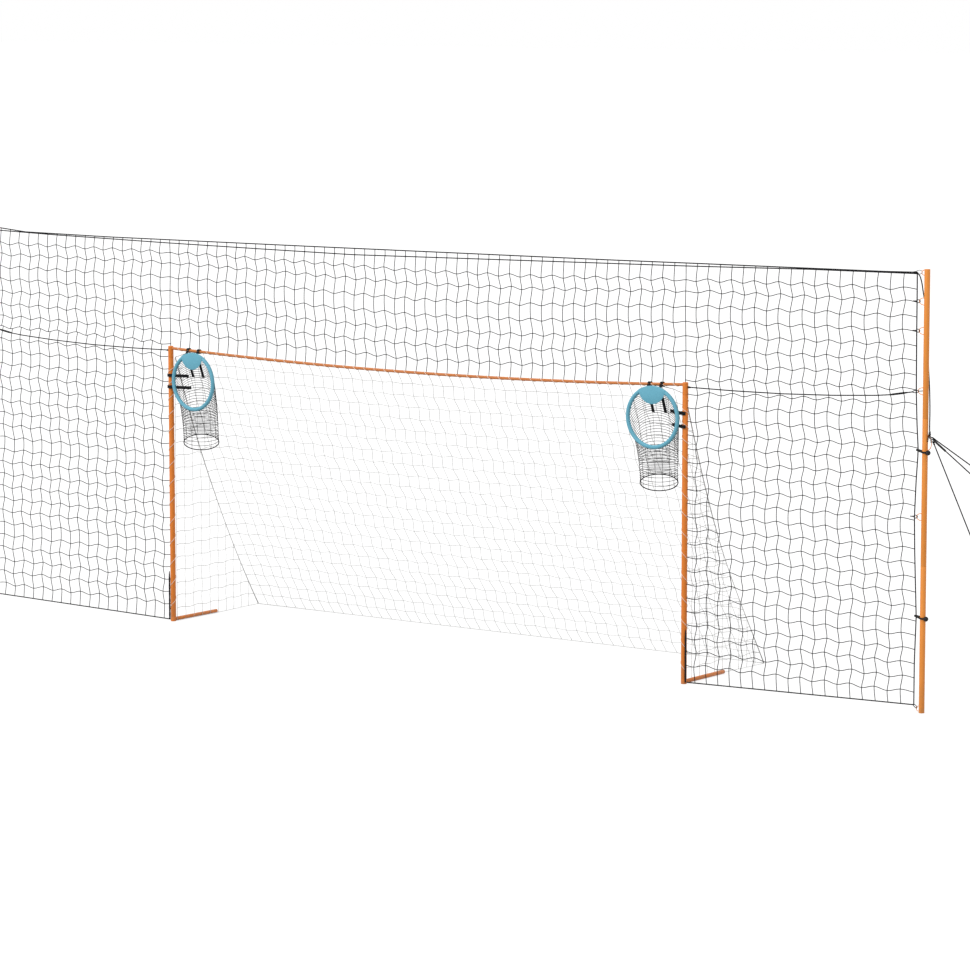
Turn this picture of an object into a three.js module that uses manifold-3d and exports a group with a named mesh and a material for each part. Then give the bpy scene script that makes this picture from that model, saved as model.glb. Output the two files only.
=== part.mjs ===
// Ball-stop net between two tall poles, laced round a portable goal with two corner targets.
// Millimetres. +X runs along the goal line, +Y goes to the back of the goal, +Z is up.
// Everything is built about the middle of the goal line; the last lines centre the outline on Y.

import * as THREE from 'three';
import { mergeVertices } from 'three/addons/utils/BufferGeometryUtils.js';
import Module from 'manifold-3d';

const wasm = await Module();
wasm.setup();

// ---- driving dimensions ---------------------------------------------------------------

const gap = 0.3; // clearance between pieces that seat on each other

// Poles: steel tube in three sections that plug into each other
const poleSpacing = 8680; // between the two pole axes
const poleHeight = 3040;
const poleDiameter = 40;
const poleWall = 2;
const poleSections = 3;
const poleSpigotLength = 90;
const tubeSegments = 16;

// Wire rings welded to the poles
const ringWire = 5;
const ringSunk = 1.2; // into the tube's wall
const ringSteps = 6;
const bendFacet = 1.4; // room for the chords of a bent wire or of a link's end
const netRingReach = 42; // out of the pole's surface
const netRingTall = 54;
const endRingReach = 25; // of the head and foot rings
const endRingTall = 42;
const guyRingReach = 33;
const guyRingTall = 106;
const headRingHeight = poleHeight - 25;
const clipHeights = [220, 420, 1690].map((below) => poleHeight - below);
const midRingHeight = poleHeight - 830;
const guyRingHeight = poleHeight - 1179;
const footRingHeight = 28;

// Spring buttons that lock the pole sections
const buttonDiameter = 9;
const buttonProud = 2.5;
const buttonAboveJoint = -45; // on the spigot, below the shoulder
const buttonFlange = 12;
const buttonFlangeThick = 1.5;

// Goal frame
const postSpacing = 4780; // between the two post axes
const postDiameter = 42;
const postWall = 2;
const barHeight = 2141; // middle of the crossbar where it enters the corner elbows
const barDiameter = 22;
const barSag = 54;
const barSides = 10;
const barSteps = 8; // along each half
const barSocketDepth = 29;
const barSpigotDiameter = 16;
const barSpigotLength = 58;
const elbowRise = 17; // above the middle of the crossbar
const elbowDrop = 71; // below it
const elbowBevel = 4;
const footLength = 520;
const footDiameter = 30;
const heelHeight = 34;
const goalSpigotLength = 60;
const goalDepth = 1050;

// Nets and ropes. Each opening stands for four or five of the real 100 mm meshes each way.
const netTwine = 4;
const netThickness = 4;
const netCord = 7; // cord along a net's edge
const edgeRopeOut = 70; // from the pole's axis to the edge of the black net
const netBottomAtPost = 12;
const netBottomAtPole = 52;
const netTopSag = 35;
const netRowsAbove = 2;
const netColumnsAboveGoal = 10;
const netColumnsBeside = 4;
const netRowsBeside = 4;
const goalNetColumns = 10;
const goalNetRows = 4;
const goalSideMesh = 480;
const ropeDiameter = 6;
const spliceDiameter = 10;
const spliceLength = 145;
const spliceFromPole = 140;
const midRopeDrop = 15; // below the crossbar's middle, where it leaves the goal's corner
const midRopeSag = 35;
const knotDiameter = 18;
const loopWidth = 16; // of the loop at a rope's end
const loopWire = 4;
const knotFromPole = 95;

// White lacing that binds both nets to the goal frame
const lacingDiameter = 3;
const lacingSteps = 8; // per turn
const postLacingPitch = 240;
const barLacingTurns = 17;

// Snap clips, elastic ball ties, bottom ties
const clipTail = 32; // of the rod that goes on past the net's edge
const clipTailDiameter = 5;
const clipWidth = 20;
const clipWire = 4.5;
const clipThickness = 4;
const ballTieHeights = [1792, 652];
const ballDiameter = 32;
const elasticDiameter = 5;
const bottomTieAngle = 22; // where it grips the foot ring's wire
const bottomTieWidth = 17;
const bottomTieWire = 4.5;
const bottomTieThickness = 4;
const bottomTieClear = 0.6;

// Corner targets
const targetDiameter = 454;
const targetTube = 30;
const targetBelowBar = 235; // from the crossbar to the middle of the ring
const discDiameter = 230;
const discThickness = 4;
const hemDiameter = 277;
const hemWire = 6;
const hemDrop = 474; // from the middle of the ring
const hemBack = 90;
const hemShift = -2;
const hemTilt = 33; // degrees, front edge up
const sleeveWall = 3;
const sleeveTilt = 1; // room for the wall's lean at its mouth
const sleevePull = 0.8; // how early the wall has come in to the hem's width
const sleeveSegments = 18;
const sleeveSteps = 3;
const strapWidth = 20;
const strapThickness = 2.5;
const strapSides = 12; // of the band round a tube
// Each target hangs in its own way. fromPost is from the post's axis to the middle of the ring,
// hemTurn is the heading of the hem's raised edge, in degrees from square to the goal line
// towards the post, and the straps are given from the ring's middle: towards the post, and up.
const targets = {
  right: { fromPost: 248, hemTurn: 34, barStraps: [42, -64], postStraps: [44, -51] },
  left: { fromPost: 262, hemTurn: -40, barStraps: [84, -19], postStraps: [37, -53] },
};

// Ropes at the right pole
const guyDiameter = 6;
const guyEyeRadius = 8.8;
const guyEndEyeRadius = 14;
const tieDownAngle = 68; // where the tie-down cord is tied on the guy ring
const tieDownKnot = 12;
const adjusterLength = 110;
const adjusterDiameter = 14;
const adjusterFromEye = 14;

// ---- materials ------------------------------------------------------------------------

const paint = (color, roughness, metalness) =>
  new THREE.MeshStandardMaterial({ color, roughness, metalness });
const finish = {
  pole: paint(0xe8914a, 0.4, 0.2),
  post: paint(0xd9803e, 0.4, 0.2),
  bar: paint(0xc87a42, 0.4, 0.2),
  button: paint(0xb8babd, 0.35, 0.9),
  blackTwine: paint(0x2b2b2e, 0.85, 0),
  blackRope: paint(0x1a1a1c, 0.8, 0),
  whiteTwine: paint(0xf2f2ef, 0.85, 0),
  lacing: paint(0xf4ece2, 0.8, 0),
  clip: paint(0x2c2526, 0.5, 0.3),
  elastic: paint(0x101012, 0.6, 0),
  target: paint(0x69acbe, 0.5, 0),
  strap: paint(0x0d0d0f, 0.9, 0),
};

// ---- helpers --------------------------------------------------------------------------

const V = (x, y, z) => new THREE.Vector3(x, y, z);
const lerp = THREE.MathUtils.lerp;
const degrees = Math.PI / 180;

function evenly(from, to, count) {
  return Array.from({ length: count + 1 }, (_, k) => lerp(from, to, k / count));
}

// A hole that clears a faceted rod of any turn about its own axis
const holeRadius = (radius, sides) => (radius + gap) / Math.cos(Math.PI / sides);

function signedVolume(geometry) {
  const p = geometry.getAttribute('position');
  const index = geometry.getIndex();
  const count = index ? index.count : p.count;
  const corner = (k) => new THREE.Vector3().fromBufferAttribute(p, index ? index.getX(k) : k);
  let volume = 0;
  for (let k = 0; k < count; k += 3) {
    volume += corner(k).dot(corner(k + 1).cross(corner(k + 2))) / 6;
  }
  return volume;
}

function flipped(geometry) {
  const order = Array.from(geometry.getIndex().array);
  for (let k = 0; k < order.length; k += 3) {
    [order[k + 1], order[k + 2]] = [order[k + 2], order[k + 1]];
  }
  geometry.setIndex(order);
  return geometry;
}

// One closed body: shared corners merged, faces pointing out
function closed(geometry) {
  const bare = new THREE.BufferGeometry();
  bare.setAttribute('position', geometry.getAttribute('position').clone());
  if (geometry.getIndex()) {
    bare.setIndex(geometry.getIndex().clone());
  }
  const merged = mergeVertices(bare, 1e-3);
  const order = merged.getIndex().array;
  const kept = [];
  for (let k = 0; k < order.length; k += 3) {
    const [a, b, c] = [order[k], order[k + 1], order[k + 2]];
    if (a !== b && b !== c && c !== a) {
      kept.push(a, b, c);
    }
  }
  merged.setIndex(kept);
  return signedVolume(merged) < 0 ? flipped(merged) : merged;
}

function solidOf(geometry) {
  const body = closed(geometry);
  const mesh = new wasm.Mesh({
    numProp: 3,
    vertProperties: new Float32Array(body.getAttribute('position').array),
    triVerts: new Uint32Array(body.getIndex().array),
  });
  return new wasm.Manifold(mesh);
}

function geometryOf(solid) {
  const mesh = solid.getMesh();
  const geometry = new THREE.BufferGeometry();
  geometry.setAttribute('position', new THREE.BufferAttribute(mesh.vertProperties, 3));
  geometry.setIndex(Array.from(mesh.triVerts));
  return geometry;
}

const joined = (...pieces) => geometryOf(pieces.map(solidOf).reduce((a, b) => a.add(b)));

const without = (piece, ...tools) =>
  geometryOf(tools.map(solidOf).reduce((a, b) => a.subtract(b), solidOf(piece)));

const common = (a, b) => geometryOf(solidOf(a).intersect(solidOf(b)));

function mirrored(geometry) {
  const twin = closed(geometry);
  twin.scale(-1, 1, 1);
  return flipped(twin);
}

function circlePoints(radius, sides) {
  const points = [];
  for (let k = 0; k < sides; k++) {
    const angle = ((k + 0.5) / sides) * 2 * Math.PI;
    points.push(new THREE.Vector2(radius * Math.cos(angle), radius * Math.sin(angle)));
  }
  return points;
}

function tube(path, radius, sides, steps) {
  const section = new THREE.Shape(circlePoints(radius, sides));
  return new THREE.ExtrudeGeometry(section, { steps, bevelEnabled: false, extrudePath: path });
}

const rod = (from, to, radius, sides = 10) =>
  tube(new THREE.LineCurve3(from, to), radius, sides, 1);

// A profile of [radius, height] pairs turned about Z
function turned(profile, segments = tubeSegments) {
  const points = profile.map(([radius, height]) => new THREE.Vector2(radius, height));
  const body = new THREE.LatheGeometry(points, segments);
  body.rotateX(Math.PI / 2);
  return body;
}

function knot(at, diameter) {
  const ball = new THREE.SphereGeometry(diameter / 2, 8, 4);
  ball.translate(at.x, at.y, at.z);
  return ball;
}

// Turns local X to a direction and keeps local Y level, then moves to a point
function placed(geometry, at, along) {
  const x = along.clone().normalize();
  const y = Math.abs(x.y) > 0.99 ? V(0, 0, 1) : V(0, 1, 0).addScaledVector(x, -x.y).normalize();
  const z = x.clone().cross(y);
  const matrix = new THREE.Matrix4().makeBasis(x, y, z).setPosition(at);
  geometry.applyMatrix4(matrix);
  return geometry;
}

// A flat long link: length along local X from the origin, width along local Y
function link(length, width, wire, thickness) {
  const outline = (half, from, to) => {
    const shape = new THREE.Path();
    shape.moveTo(from + half, -half);
    shape.lineTo(to - half, -half);
    shape.absarc(to - half, 0, half, -Math.PI / 2, Math.PI / 2, false);
    shape.lineTo(from + half, half);
    shape.absarc(from + half, 0, half, Math.PI / 2, (3 * Math.PI) / 2, false);
    return shape.getPoints(3);
  };
  const shape = new THREE.Shape(outline(width / 2, 0, length));
  shape.holes.push(new THREE.Path(outline(width / 2 - wire, wire, length - wire)));
  const body = new THREE.ExtrudeGeometry(shape, { depth: thickness, bevelEnabled: false });
  body.translate(0, 0, -thickness / 2);
  return body;
}

// The outline of a belt pulled tight over two wheels on one line
function beltOutline(radiusA, radiusB, distance, segments) {
  const lean = Math.acos((radiusA - radiusB) / distance);
  const points = [];
  for (let k = 0; k <= segments; k++) {
    const angle = lerp(lean, 2 * Math.PI - lean, k / segments);
    points.push(new THREE.Vector2(radiusA * Math.cos(angle), radiusA * Math.sin(angle)));
  }
  for (let k = 0; k <= segments / 2; k++) {
    const angle = lerp(-lean, lean, k / (segments / 2));
    const x = distance + radiusB * Math.cos(angle);
    points.push(new THREE.Vector2(x, radiusB * Math.sin(angle)));
  }
  return points;
}

// A net stretched between two edges, as a plate with square openings in a BufferGeometry.
// columns: x of each upright strand; low and high give the edges' points at an x.
function stretchedNet(columns, rows, low, high) {
  const rowCount = rows + 1;
  const half = (k, last) => (k === 0 || k === last ? netCord : netTwine) / 2;
  const positions = [];
  const corner = (i, j, side, left, down) => {
    const x = columns[i] + (left ? -1 : 1) * half(i, columns.length - 1);
    const bottom = low(x);
    const top = high(x);
    const up = top.clone().sub(bottom).normalize();
    const out = V(1, 0, 0).cross(up).normalize();
    return bottom
      .lerp(top, j / rows)
      .addScaledVector(up, (down ? -1 : 1) * half(j, rows))
      .addScaledVector(out, (side * netThickness) / 2);
  };
  const quad = (a, b, c, d) => {
    for (const point of [a, b, c, a, c, d]) {
      positions.push(point.x, point.y, point.z);
    }
  };
  const faces = (i, j, side) => {
    const at = (ii, jj, left, down) => corner(ii, jj, side, left, down);
    const patch = (a, b, c, d) => (side > 0 ? quad(a, d, c, b) : quad(a, b, c, d));
    const [se, sw] = [at(i, j, false, true), at(i, j, true, true)];
    const [ne, nw] = [at(i, j, false, false), at(i, j, true, false)];
    patch(sw, se, ne, nw);
    if (i + 1 < columns.length) {
      patch(se, at(i + 1, j, true, true), at(i + 1, j, true, false), ne);
    }
    if (j + 1 < rowCount) {
      patch(nw, ne, at(i, j + 1, false, true), at(i, j + 1, true, true));
    }
  };
  return { positions, corner, quad, faces };
}

function netPanel(columns, rows, low, high) {
  const net = stretchedNet(columns, rows, low, high);
  const { positions, corner, quad, faces } = net;
  const last = columns.length - 1;
  for (let i = 0; i <= last; i++) {
    for (let j = 0; j <= rows; j++) {
      faces(i, j, -1);
      faces(i, j, 1);
    }
  }
  // a wall runs from corner a to corner b, through the thickness, with the strand on its left
  const wall = (a, b) => {
    const at = ([i, j, left, down], side) => corner(i, j, side, left, down);
    quad(at(a, -1), at(a, 1), at(b, 1), at(b, -1));
  };
  for (let i = 0; i < last; i++) {
    for (let j = 0; j <= rows; j++) {
      wall([i, j, false, true], [i + 1, j, true, true]);
      wall([i + 1, j, true, false], [i, j, false, false]);
    }
  }
  for (let i = 0; i <= last; i++) {
    for (let j = 0; j < rows; j++) {
      wall([i, j, false, false], [i, j + 1, false, true]);
      wall([i, j + 1, true, true], [i, j, true, false]);
    }
    wall([i, 0, true, true], [i, 0, false, true]);
    wall([i, rows, false, false], [i, rows, true, false]);
  }
  for (let j = 0; j <= rows; j++) {
    wall([0, j, true, false], [0, j, true, true]);
    wall([last, j, false, true], [last, j, false, false]);
  }
  const body = new THREE.BufferGeometry();
  body.setAttribute('position', new THREE.Float32BufferAttribute(positions, 3));
  return body;
}

// Keeps the part of a convex outline on the left of the line from a to b
function clipOutline(outline, a, b) {
  const side = (p) => (b.x - a.x) * (p.y - a.y) - (b.y - a.y) * (p.x - a.x);
  const kept = [];
  outline.forEach((p, k) => {
    const q = outline[(k + 1) % outline.length];
    const [sp, sq] = [side(p), side(q)];
    if (sp >= 0) {
      kept.push(p);
    }
    if (sp >= 0 !== sq >= 0) {
      kept.push(p.clone().lerp(q, sp / (sp - sq)));
    }
  });
  return kept.filter((p, k) => p.distanceTo(kept[(k + 1) % kept.length]) > 0.5);
}

// ---- places that several pieces share --------------------------------------------------

const poleX = poleSpacing / 2;
const postX = postSpacing / 2;
const poleRadius = poleDiameter / 2;
const postRadius = postDiameter / 2;
const barRadius = barDiameter / 2;
const twineRadius = lacingDiameter / 2;
const cordHalf = netCord / 2;

const sectionLength = poleHeight / poleSections;
const lacingChord = Math.cos(Math.PI / lacingSteps);
const postLacingRadius = (postRadius + gap + twineRadius) / lacingChord;
const barLacingRadius = (barRadius + gap + twineRadius) / lacingChord;
const roundPost = postLacingRadius + twineRadius + gap; // clear of the post and its lacing
const roundBar = barLacingRadius + twineRadius + gap; // clear of the crossbar and its lacing
const bandRadius = (core) => core / Math.cos(Math.PI / strapSides); // a strap's inner corners
const roundStrap = bandRadius(roundPost) + strapThickness + gap; // clear of a strap on the post
const roundBarStrap = bandRadius(roundBar) + strapThickness + gap;

const barZ = (x) => barHeight - barSag * (1 - (x / postX) ** 2);
const elbowTop = barHeight + elbowRise;
const elbowBottom = barHeight - elbowDrop;
const edgeX = poleX - edgeRopeOut; // edge of the black net
const wireX = (reach) => poleX - poleRadius - reach + ringWire / 2; // a ring's outermost wire
const ringX = wireX(netRingReach);

const midRopeFrom = V(postX + postRadius, 0, barHeight - midRopeDrop);
const midRopeTo = V(ringX, 0, midRingHeight);
const midRopeZ = (x) => {
  const s = (Math.abs(x) - midRopeFrom.x) / (midRopeTo.x - midRopeFrom.x);
  return lerp(midRopeFrom.z, midRopeTo.z, s) - 4 * midRopeSag * s * (1 - s);
};
const roundMidRope = spliceDiameter / 2 + gap + cordHalf; // from the rope to a net's edge cord

const ringY = -(roundStrap + targetTube / 2);
for (const target of Object.values(targets)) {
  target.x = postX - target.fromPost;
  target.z = barZ(target.x) - targetBelowBar;
}
const targetRadius = targetDiameter / 2 - targetTube / 2; // to the middle of the tube

// ---- poles ----------------------------------------------------------------------------

// A ring's wire bends in half an ellipse from the tube's wall. Angle 0 is its outermost point.
function onRing({ height, tall, reach, side }, angle) {
  const root = poleRadius - ringSunk;
  const bow = reach + ringSunk - ringWire / 2;
  const rise = (tall - ringWire) / 2;
  const [c, s] = [Math.cos(angle), Math.sin(angle)];
  return {
    at: V(side * (root + bow * c), 0, height + rise * s),
    out: V((side * c) / bow, 0, s / rise).normalize(),
  };
}

function wireRing(ring) {
  const points = evenly(-90, 90, 8).map((angle) => onRing(ring, angle * degrees).at);
  return tube(new THREE.CatmullRomCurve3(points), ringWire / 2, 5, ringSteps);
}

const ring = (height, tall, reach, side) => ({ height, tall, reach, side });
const netRing = (height) => ring(height, netRingTall, netRingReach, -1);
const headRing = ring(headRingHeight, endRingTall, endRingReach, -1);
const footRing = ring(footRingHeight, endRingTall, endRingReach, -1);
const guyRing = ring(guyRingHeight, guyRingTall, guyRingReach, 1);
const rings = [headRing, ...[...clipHeights, midRingHeight].map(netRing), footRing, guyRing];

function buttonHole(height) {
  const radius = holeRadius(buttonDiameter / 2, 10);
  return rod(V(0, 0, height), V(0, poleRadius + 4, height), radius);
}

function poleSection(number) {
  const bottom = number * sectionLength + (number > 0 ? gap : 0);
  const top = (number + 1) * sectionLength;
  const inner = poleRadius - poleWall;
  const spigot = inner - gap;
  const bore = spigot - poleWall;
  const profile =
    number > 0
      ? [
          [poleRadius, bottom],
          [poleRadius, top],
          [inner, top],
          [inner, bottom + poleWall],
          [bore, bottom],
          [bore, bottom - poleSpigotLength],
          [spigot, bottom - poleSpigotLength],
          [spigot, bottom],
          [poleRadius, bottom],
        ]
      : [
          [poleRadius, bottom],
          [poleRadius, top],
          [inner, top],
          [inner, bottom + poleWall],
          [0, bottom + poleWall],
          [0, bottom],
          [poleRadius, bottom],
        ];
  if (number === poleSections - 1) {
    profile.splice(2, 1, [0, top], [0, top - poleWall], [inner, top - poleWall]);
  }
  const welded = rings.filter(({ height }) => height > bottom && height < top).map(wireRing);
  const holes = [];
  if (number > 0) {
    holes.push(buttonHole(number * sectionLength + buttonAboveJoint));
  }
  if (number < poleSections - 1) {
    holes.push(buttonHole((number + 1) * sectionLength + buttonAboveJoint));
  }
  const body = without(joined(turned(profile), ...welded), ...holes);
  body.translate(poleX, 0, 0);
  return body;
}

function springButton(joint) {
  const height = joint * sectionLength + buttonAboveJoint;
  const bore = poleRadius - 2 * poleWall - gap;
  const seat = Math.sqrt(bore ** 2 - (buttonFlange / 2) ** 2) * Math.cos(Math.PI / tubeSegments);
  const flangeTop = seat - gap;
  const profile = [
    [0, flangeTop - buttonFlangeThick],
    [buttonFlange / 2, flangeTop - buttonFlangeThick],
    [buttonFlange / 2, flangeTop],
    [buttonDiameter / 2, flangeTop],
    [buttonDiameter / 2, poleRadius + buttonProud - 1],
    [buttonDiameter / 2 - 1, poleRadius + buttonProud],
    [0, poleRadius + buttonProud],
  ];
  const body = turned(profile, 8);
  body.rotateX(-Math.PI / 2);
  body.translate(poleX, 0, height);
  return body;
}

// ---- goal frame -----------------------------------------------------------------------

function goalPost() {
  const inner = postRadius - postWall;
  const bottom = heelHeight + gap;
  const top = elbowBottom - gap;
  const profile = [
    [postRadius, bottom],
    [postRadius, top],
    [inner, top],
    [inner, bottom],
    [postRadius, bottom],
  ];
  const body = turned(profile);
  body.translate(postX, 0, 0);
  return body;
}

// The crossbar's end runs straight into the elbow along this line
const barEndSlope = (4 * barSag) / postSpacing;
const barEndX = postX - postRadius + barSocketDepth - gap;

function cornerElbow() {
  const spigot = postRadius - postWall - gap;
  const profile = [
    [0, elbowBottom - goalSpigotLength],
    [spigot, elbowBottom - goalSpigotLength],
    [spigot, elbowBottom],
    [postRadius, elbowBottom],
    [postRadius, elbowTop - elbowBevel],
    [postRadius - elbowBevel, elbowTop],
    [0, elbowTop],
  ];
  const body = turned(profile);
  body.translate(postX, 0, 0);
  const out = postX - 2 * postRadius;
  const back = barEndX + gap;
  const onLine = (x) => V(x, 0, barHeight + barEndSlope * (x - postX));
  const socket = rod(onLine(out), onLine(back), holeRadius(barRadius, barSides), barSides);
  const eyelet = rod(
    V(midRopeFrom.x - 12, 0, midRopeFrom.z),
    V(midRopeFrom.x + 10, 0, midRopeFrom.z),
    holeRadius(ropeDiameter / 2, 8),
    8,
  );
  return without(body, socket, eyelet);
}

class BarCurve extends THREE.Curve {
  constructor(from, to) {
    super();
    this.from = from;
    this.to = to;
  }

  getPoint(t) {
    const x = lerp(this.from, this.to, t);
    const inside = Math.min(Math.abs(x), postX);
    return V(x, 0, barZ(inside) + barEndSlope * (Math.abs(x) - inside));
  }
}

function crossbarHalf(side) {
  const half = tube(new BarCurve((side * gap) / 2, side * barEndX), barRadius, barSides, barSteps);
  const middle = barZ(0);
  const spigotEnd = -barSpigotLength;
  if (side > 0) {
    const spigot = rod(V(10, 0, middle), V(spigotEnd, 0, middle), barSpigotDiameter / 2);
    return joined(half, spigot);
  }
  const radius = holeRadius(barSpigotDiameter / 2, 10);
  return without(half, rod(V(spigotEnd - 2, 0, middle), V(10, 0, middle), radius));
}

function groundFoot() {
  const spigot = postRadius - postWall - gap;
  const heel = turned([
    [0, 0],
    [postRadius, 0],
    [postRadius, heelHeight],
    [spigot, heelHeight],
    [spigot, heelHeight + goalSpigotLength],
    [0, heelHeight + goalSpigotLength],
  ]);
  const radius = footDiameter / 2;
  const bevel = 3;
  const runner = turned(
    [
      [0, 0],
      [radius, 0],
      [radius, footLength - bevel],
      [radius - bevel, footLength],
      [0, footLength],
    ],
    16,
  );
  runner.rotateX(-Math.PI / 2);
  runner.translate(0, 0, radius);
  const body = joined(heel, runner);
  body.translate(postX, 0, 0);
  return body;
}

// ---- nets -----------------------------------------------------------------------------

function upperNet() {
  const inside = postX - roundStrap;
  const outside = postX + roundStrap;
  const side = evenly(outside, edgeX, netColumnsBeside);
  const columns = [
    ...side.map((x) => -x).reverse(),
    ...evenly(-inside, inside, netColumnsAboveGoal),
    ...side,
  ];
  const overBar = (x) => barZ(x) + roundBarStrap + cordHalf;
  const overElbow = elbowTop + gap + cordHalf;
  const first = side[1];
  const low = (x) => {
    const reach = Math.abs(x);
    if (reach < inside - netCord) {
      return V(x, 0, overBar(reach));
    }
    if (reach < outside + netCord) {
      return V(x, 0, overElbow);
    }
    if (reach < first) {
      const s = (reach - outside - netCord) / (first - outside - netCord);
      return V(x, 0, lerp(overElbow, midRopeZ(first) + roundMidRope, s));
    }
    return V(x, 0, midRopeZ(reach) + roundMidRope);
  };
  const topAtEnds = headRingHeight - knotDiameter / 2 - gap - cordHalf;
  const high = (x) => V(x, 0, topAtEnds - netTopSag * (1 - (x / edgeX) ** 2));
  return netPanel(columns, netRowsAbove, low, high);
}

function sideNet() {
  const from = postX + roundStrap + cordHalf;
  const low = (x) => {
    const s = (x - from) / (edgeX - from);
    return V(x, 0, lerp(netBottomAtPost, netBottomAtPole, s));
  };
  const chordRise = midRopeSag / netColumnsBeside ** 2;
  const high = (x) => V(x, 0, midRopeZ(x) - roundMidRope - chordRise);
  return netPanel(evenly(from, edgeX, netColumnsBeside), netRowsBeside, low, high);
}

// The white net lies in a slope from behind the crossbar to the ground behind the goal
const netTopY = roundBarStrap + cordHalf;
const sideNetX = postX - footDiameter / 2 - gap - netThickness / 2;

function goalBackNet() {
  const reach = sideNetX - netThickness / 2 - gap - cordHalf;
  const low = (x) => V(x, goalDepth, cordHalf + 1);
  const high = (x) => V(x, netTopY, barZ(x));
  return netPanel(evenly(-reach, reach, goalNetColumns), goalNetRows, low, high);
}

function goalSideNet() {
  const inboard = postX - sideNetX - netThickness / 2;
  const front = Math.sqrt(Math.max(roundStrap ** 2 - inboard ** 2, 0));
  const corners = [
    new THREE.Vector2(front, 1),
    new THREE.Vector2(goalDepth + cordHalf, 1),
    new THREE.Vector2(netTopY + netCord, elbowBottom),
    new THREE.Vector2(front, elbowBottom),
  ];
  const middle = new THREE.Vector2(goalDepth / 3, elbowBottom / 3);
  const inset = corners.map((a, k) => {
    const b = corners[(k + 1) % corners.length];
    const inwards = new THREE.Vector2(a.y - b.y, b.x - a.x).normalize();
    if (inwards.dot(middle.clone().sub(a)) < 0) {
      inwards.negate();
    }
    inwards.multiplyScalar(netCord);
    return [a.clone().add(inwards), b.clone().add(inwards)];
  });
  const plate = (outline, depth) => {
    const body = new THREE.ExtrudeGeometry(new THREE.Shape(outline), { depth, bevelEnabled: false });
    body.translate(0, 0, -depth / 2);
    return body;
  };
  const openings = [];
  const cell = goalSideMesh - netTwine;
  const smallest = 900;
  for (let y = front + netCord; y < goalDepth; y += goalSideMesh) {
    for (let z = 1 + netCord; z < elbowBottom; z += goalSideMesh) {
      let hole = [
        new THREE.Vector2(y, z),
        new THREE.Vector2(y + cell, z),
        new THREE.Vector2(y + cell, z + cell),
        new THREE.Vector2(y, z + cell),
      ];
      for (const [a, b] of inset) {
        hole = hole.length ? clipOutline(hole, a, b) : hole;
      }
      if (hole.length > 2 && Math.abs(THREE.ShapeUtils.area(hole)) > smallest) {
        openings.push(plate(hole, 2 * netThickness));
      }
    }
  }
  const body = without(plate(corners, netThickness), ...openings);
  body.rotateX(Math.PI / 2);
  body.rotateZ(Math.PI / 2);
  body.translate(sideNetX, 0, 0);
  return body;
}

// ---- lacing ---------------------------------------------------------------------------

class Winding extends THREE.Curve {
  // middle(t) is the point on the core, winding in the plane of the two given directions
  constructor(middle, radius, turns, across, up) {
    super();
    Object.assign(this, { middle, radius, turns, across, up });
  }

  getPoint(t) {
    const angle = t * this.turns * 2 * Math.PI;
    return this.middle(t)
      .addScaledVector(this.across, this.radius * Math.cos(angle))
      .addScaledVector(this.up, this.radius * Math.sin(angle));
  }
}

function winding(middle, radius, turns, across, up) {
  const path = new Winding(middle, radius, turns, across, up);
  return tube(path, twineRadius, 3, Math.round(turns * lacingSteps));
}

function postLacing() {
  const bottom = heelHeight + goalSpigotLength;
  const top = elbowBottom - 20;
  const turns = Math.floor((top - bottom) / postLacingPitch);
  const middle = (t) => V(postX, 0, lerp(bottom, bottom + turns * postLacingPitch, t));
  return winding(middle, postLacingRadius, turns, V(1, 0, 0), V(0, 1, 0));
}

function barLacing() {
  const reach = postX - roundPost - 12;
  const middle = (t) => V(lerp(-reach, reach, t), 0, barZ(lerp(-reach, reach, t)));
  return winding(middle, barLacingRadius, barLacingTurns, V(0, 1, 0), V(0, 0, 1));
}

// ---- ropes and ties of the black net -----------------------------------------------------

// A link's inside at the end that bears on the wire of a net ring
const onWire = (reach) => wireX(reach) + ringWire / 2 + gap + bendFacet;
const onNetRing = onWire(netRingReach);

const ropeLoop = (length) => link(length, loopWidth, loopWire, loopWire);

function headRope() {
  const knotX = poleX - knotFromPole;
  const pieces = [rod(V(-knotX, 0, headRingHeight), V(knotX, 0, headRingHeight), ropeDiameter / 2, 8)];
  for (const side of [-1, 1]) {
    pieces.push(knot(V(side * knotX, 0, headRingHeight), knotDiameter));
  }
  const from = knotX + 4;
  const length = onWire(endRingReach) + loopWire - from;
  const right = placed(ropeLoop(length), V(from, 0, headRingHeight), V(1, 0, 0));
  pieces.push(right, mirrored(right));
  return joined(...pieces);
}

function midRope() {
  const end = poleX - knotFromPole;
  const points = evenly(midRopeFrom.x + 8, end, 8).map((x) => V(x, 0, midRopeZ(x)));
  const spliceFrom = poleX - spliceFromPole - spliceLength;
  const spliceTo = poleX - spliceFromPole;
  const onRope = (x) => V(x, 0, midRopeZ(x));
  const loopFrom = onRope(end - 6);
  const toRing = midRopeTo.clone().sub(loopFrom);
  const loopLength = toRing.length() + onNetRing + loopWire - ringX;
  return joined(
    tube(new THREE.CatmullRomCurve3(points), ropeDiameter / 2, 8, 9),
    rod(V(midRopeFrom.x - 11, 0, midRopeFrom.z), points[0].clone().add(V(1, 0, 0)), ropeDiameter / 2, 8),
    knot(V(midRopeFrom.x + 7, 0, midRopeFrom.z), 13),
    rod(onRope(spliceFrom), onRope(spliceTo), spliceDiameter / 2, 8),
    placed(ropeLoop(loopLength), loopFrom, toRing),
  );
}

// The link holds the net's edge cord against the pole's ring, and a rod goes on past the cord
function snapClip(height) {
  const from = edgeX - cordHalf - gap - bendFacet - clipWire;
  const length = onNetRing + clipWire - from;
  const body = link(length, clipWidth, clipWire, clipThickness);
  const inLink = clipWire / 2;
  const tail = rod(V(-clipTail, 0, 0), V(inLink, 0, 0), clipTailDiameter / 2, 8);
  return placed(joined(body, tail), V(from, 0, height), V(1, 0, 0));
}

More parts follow.
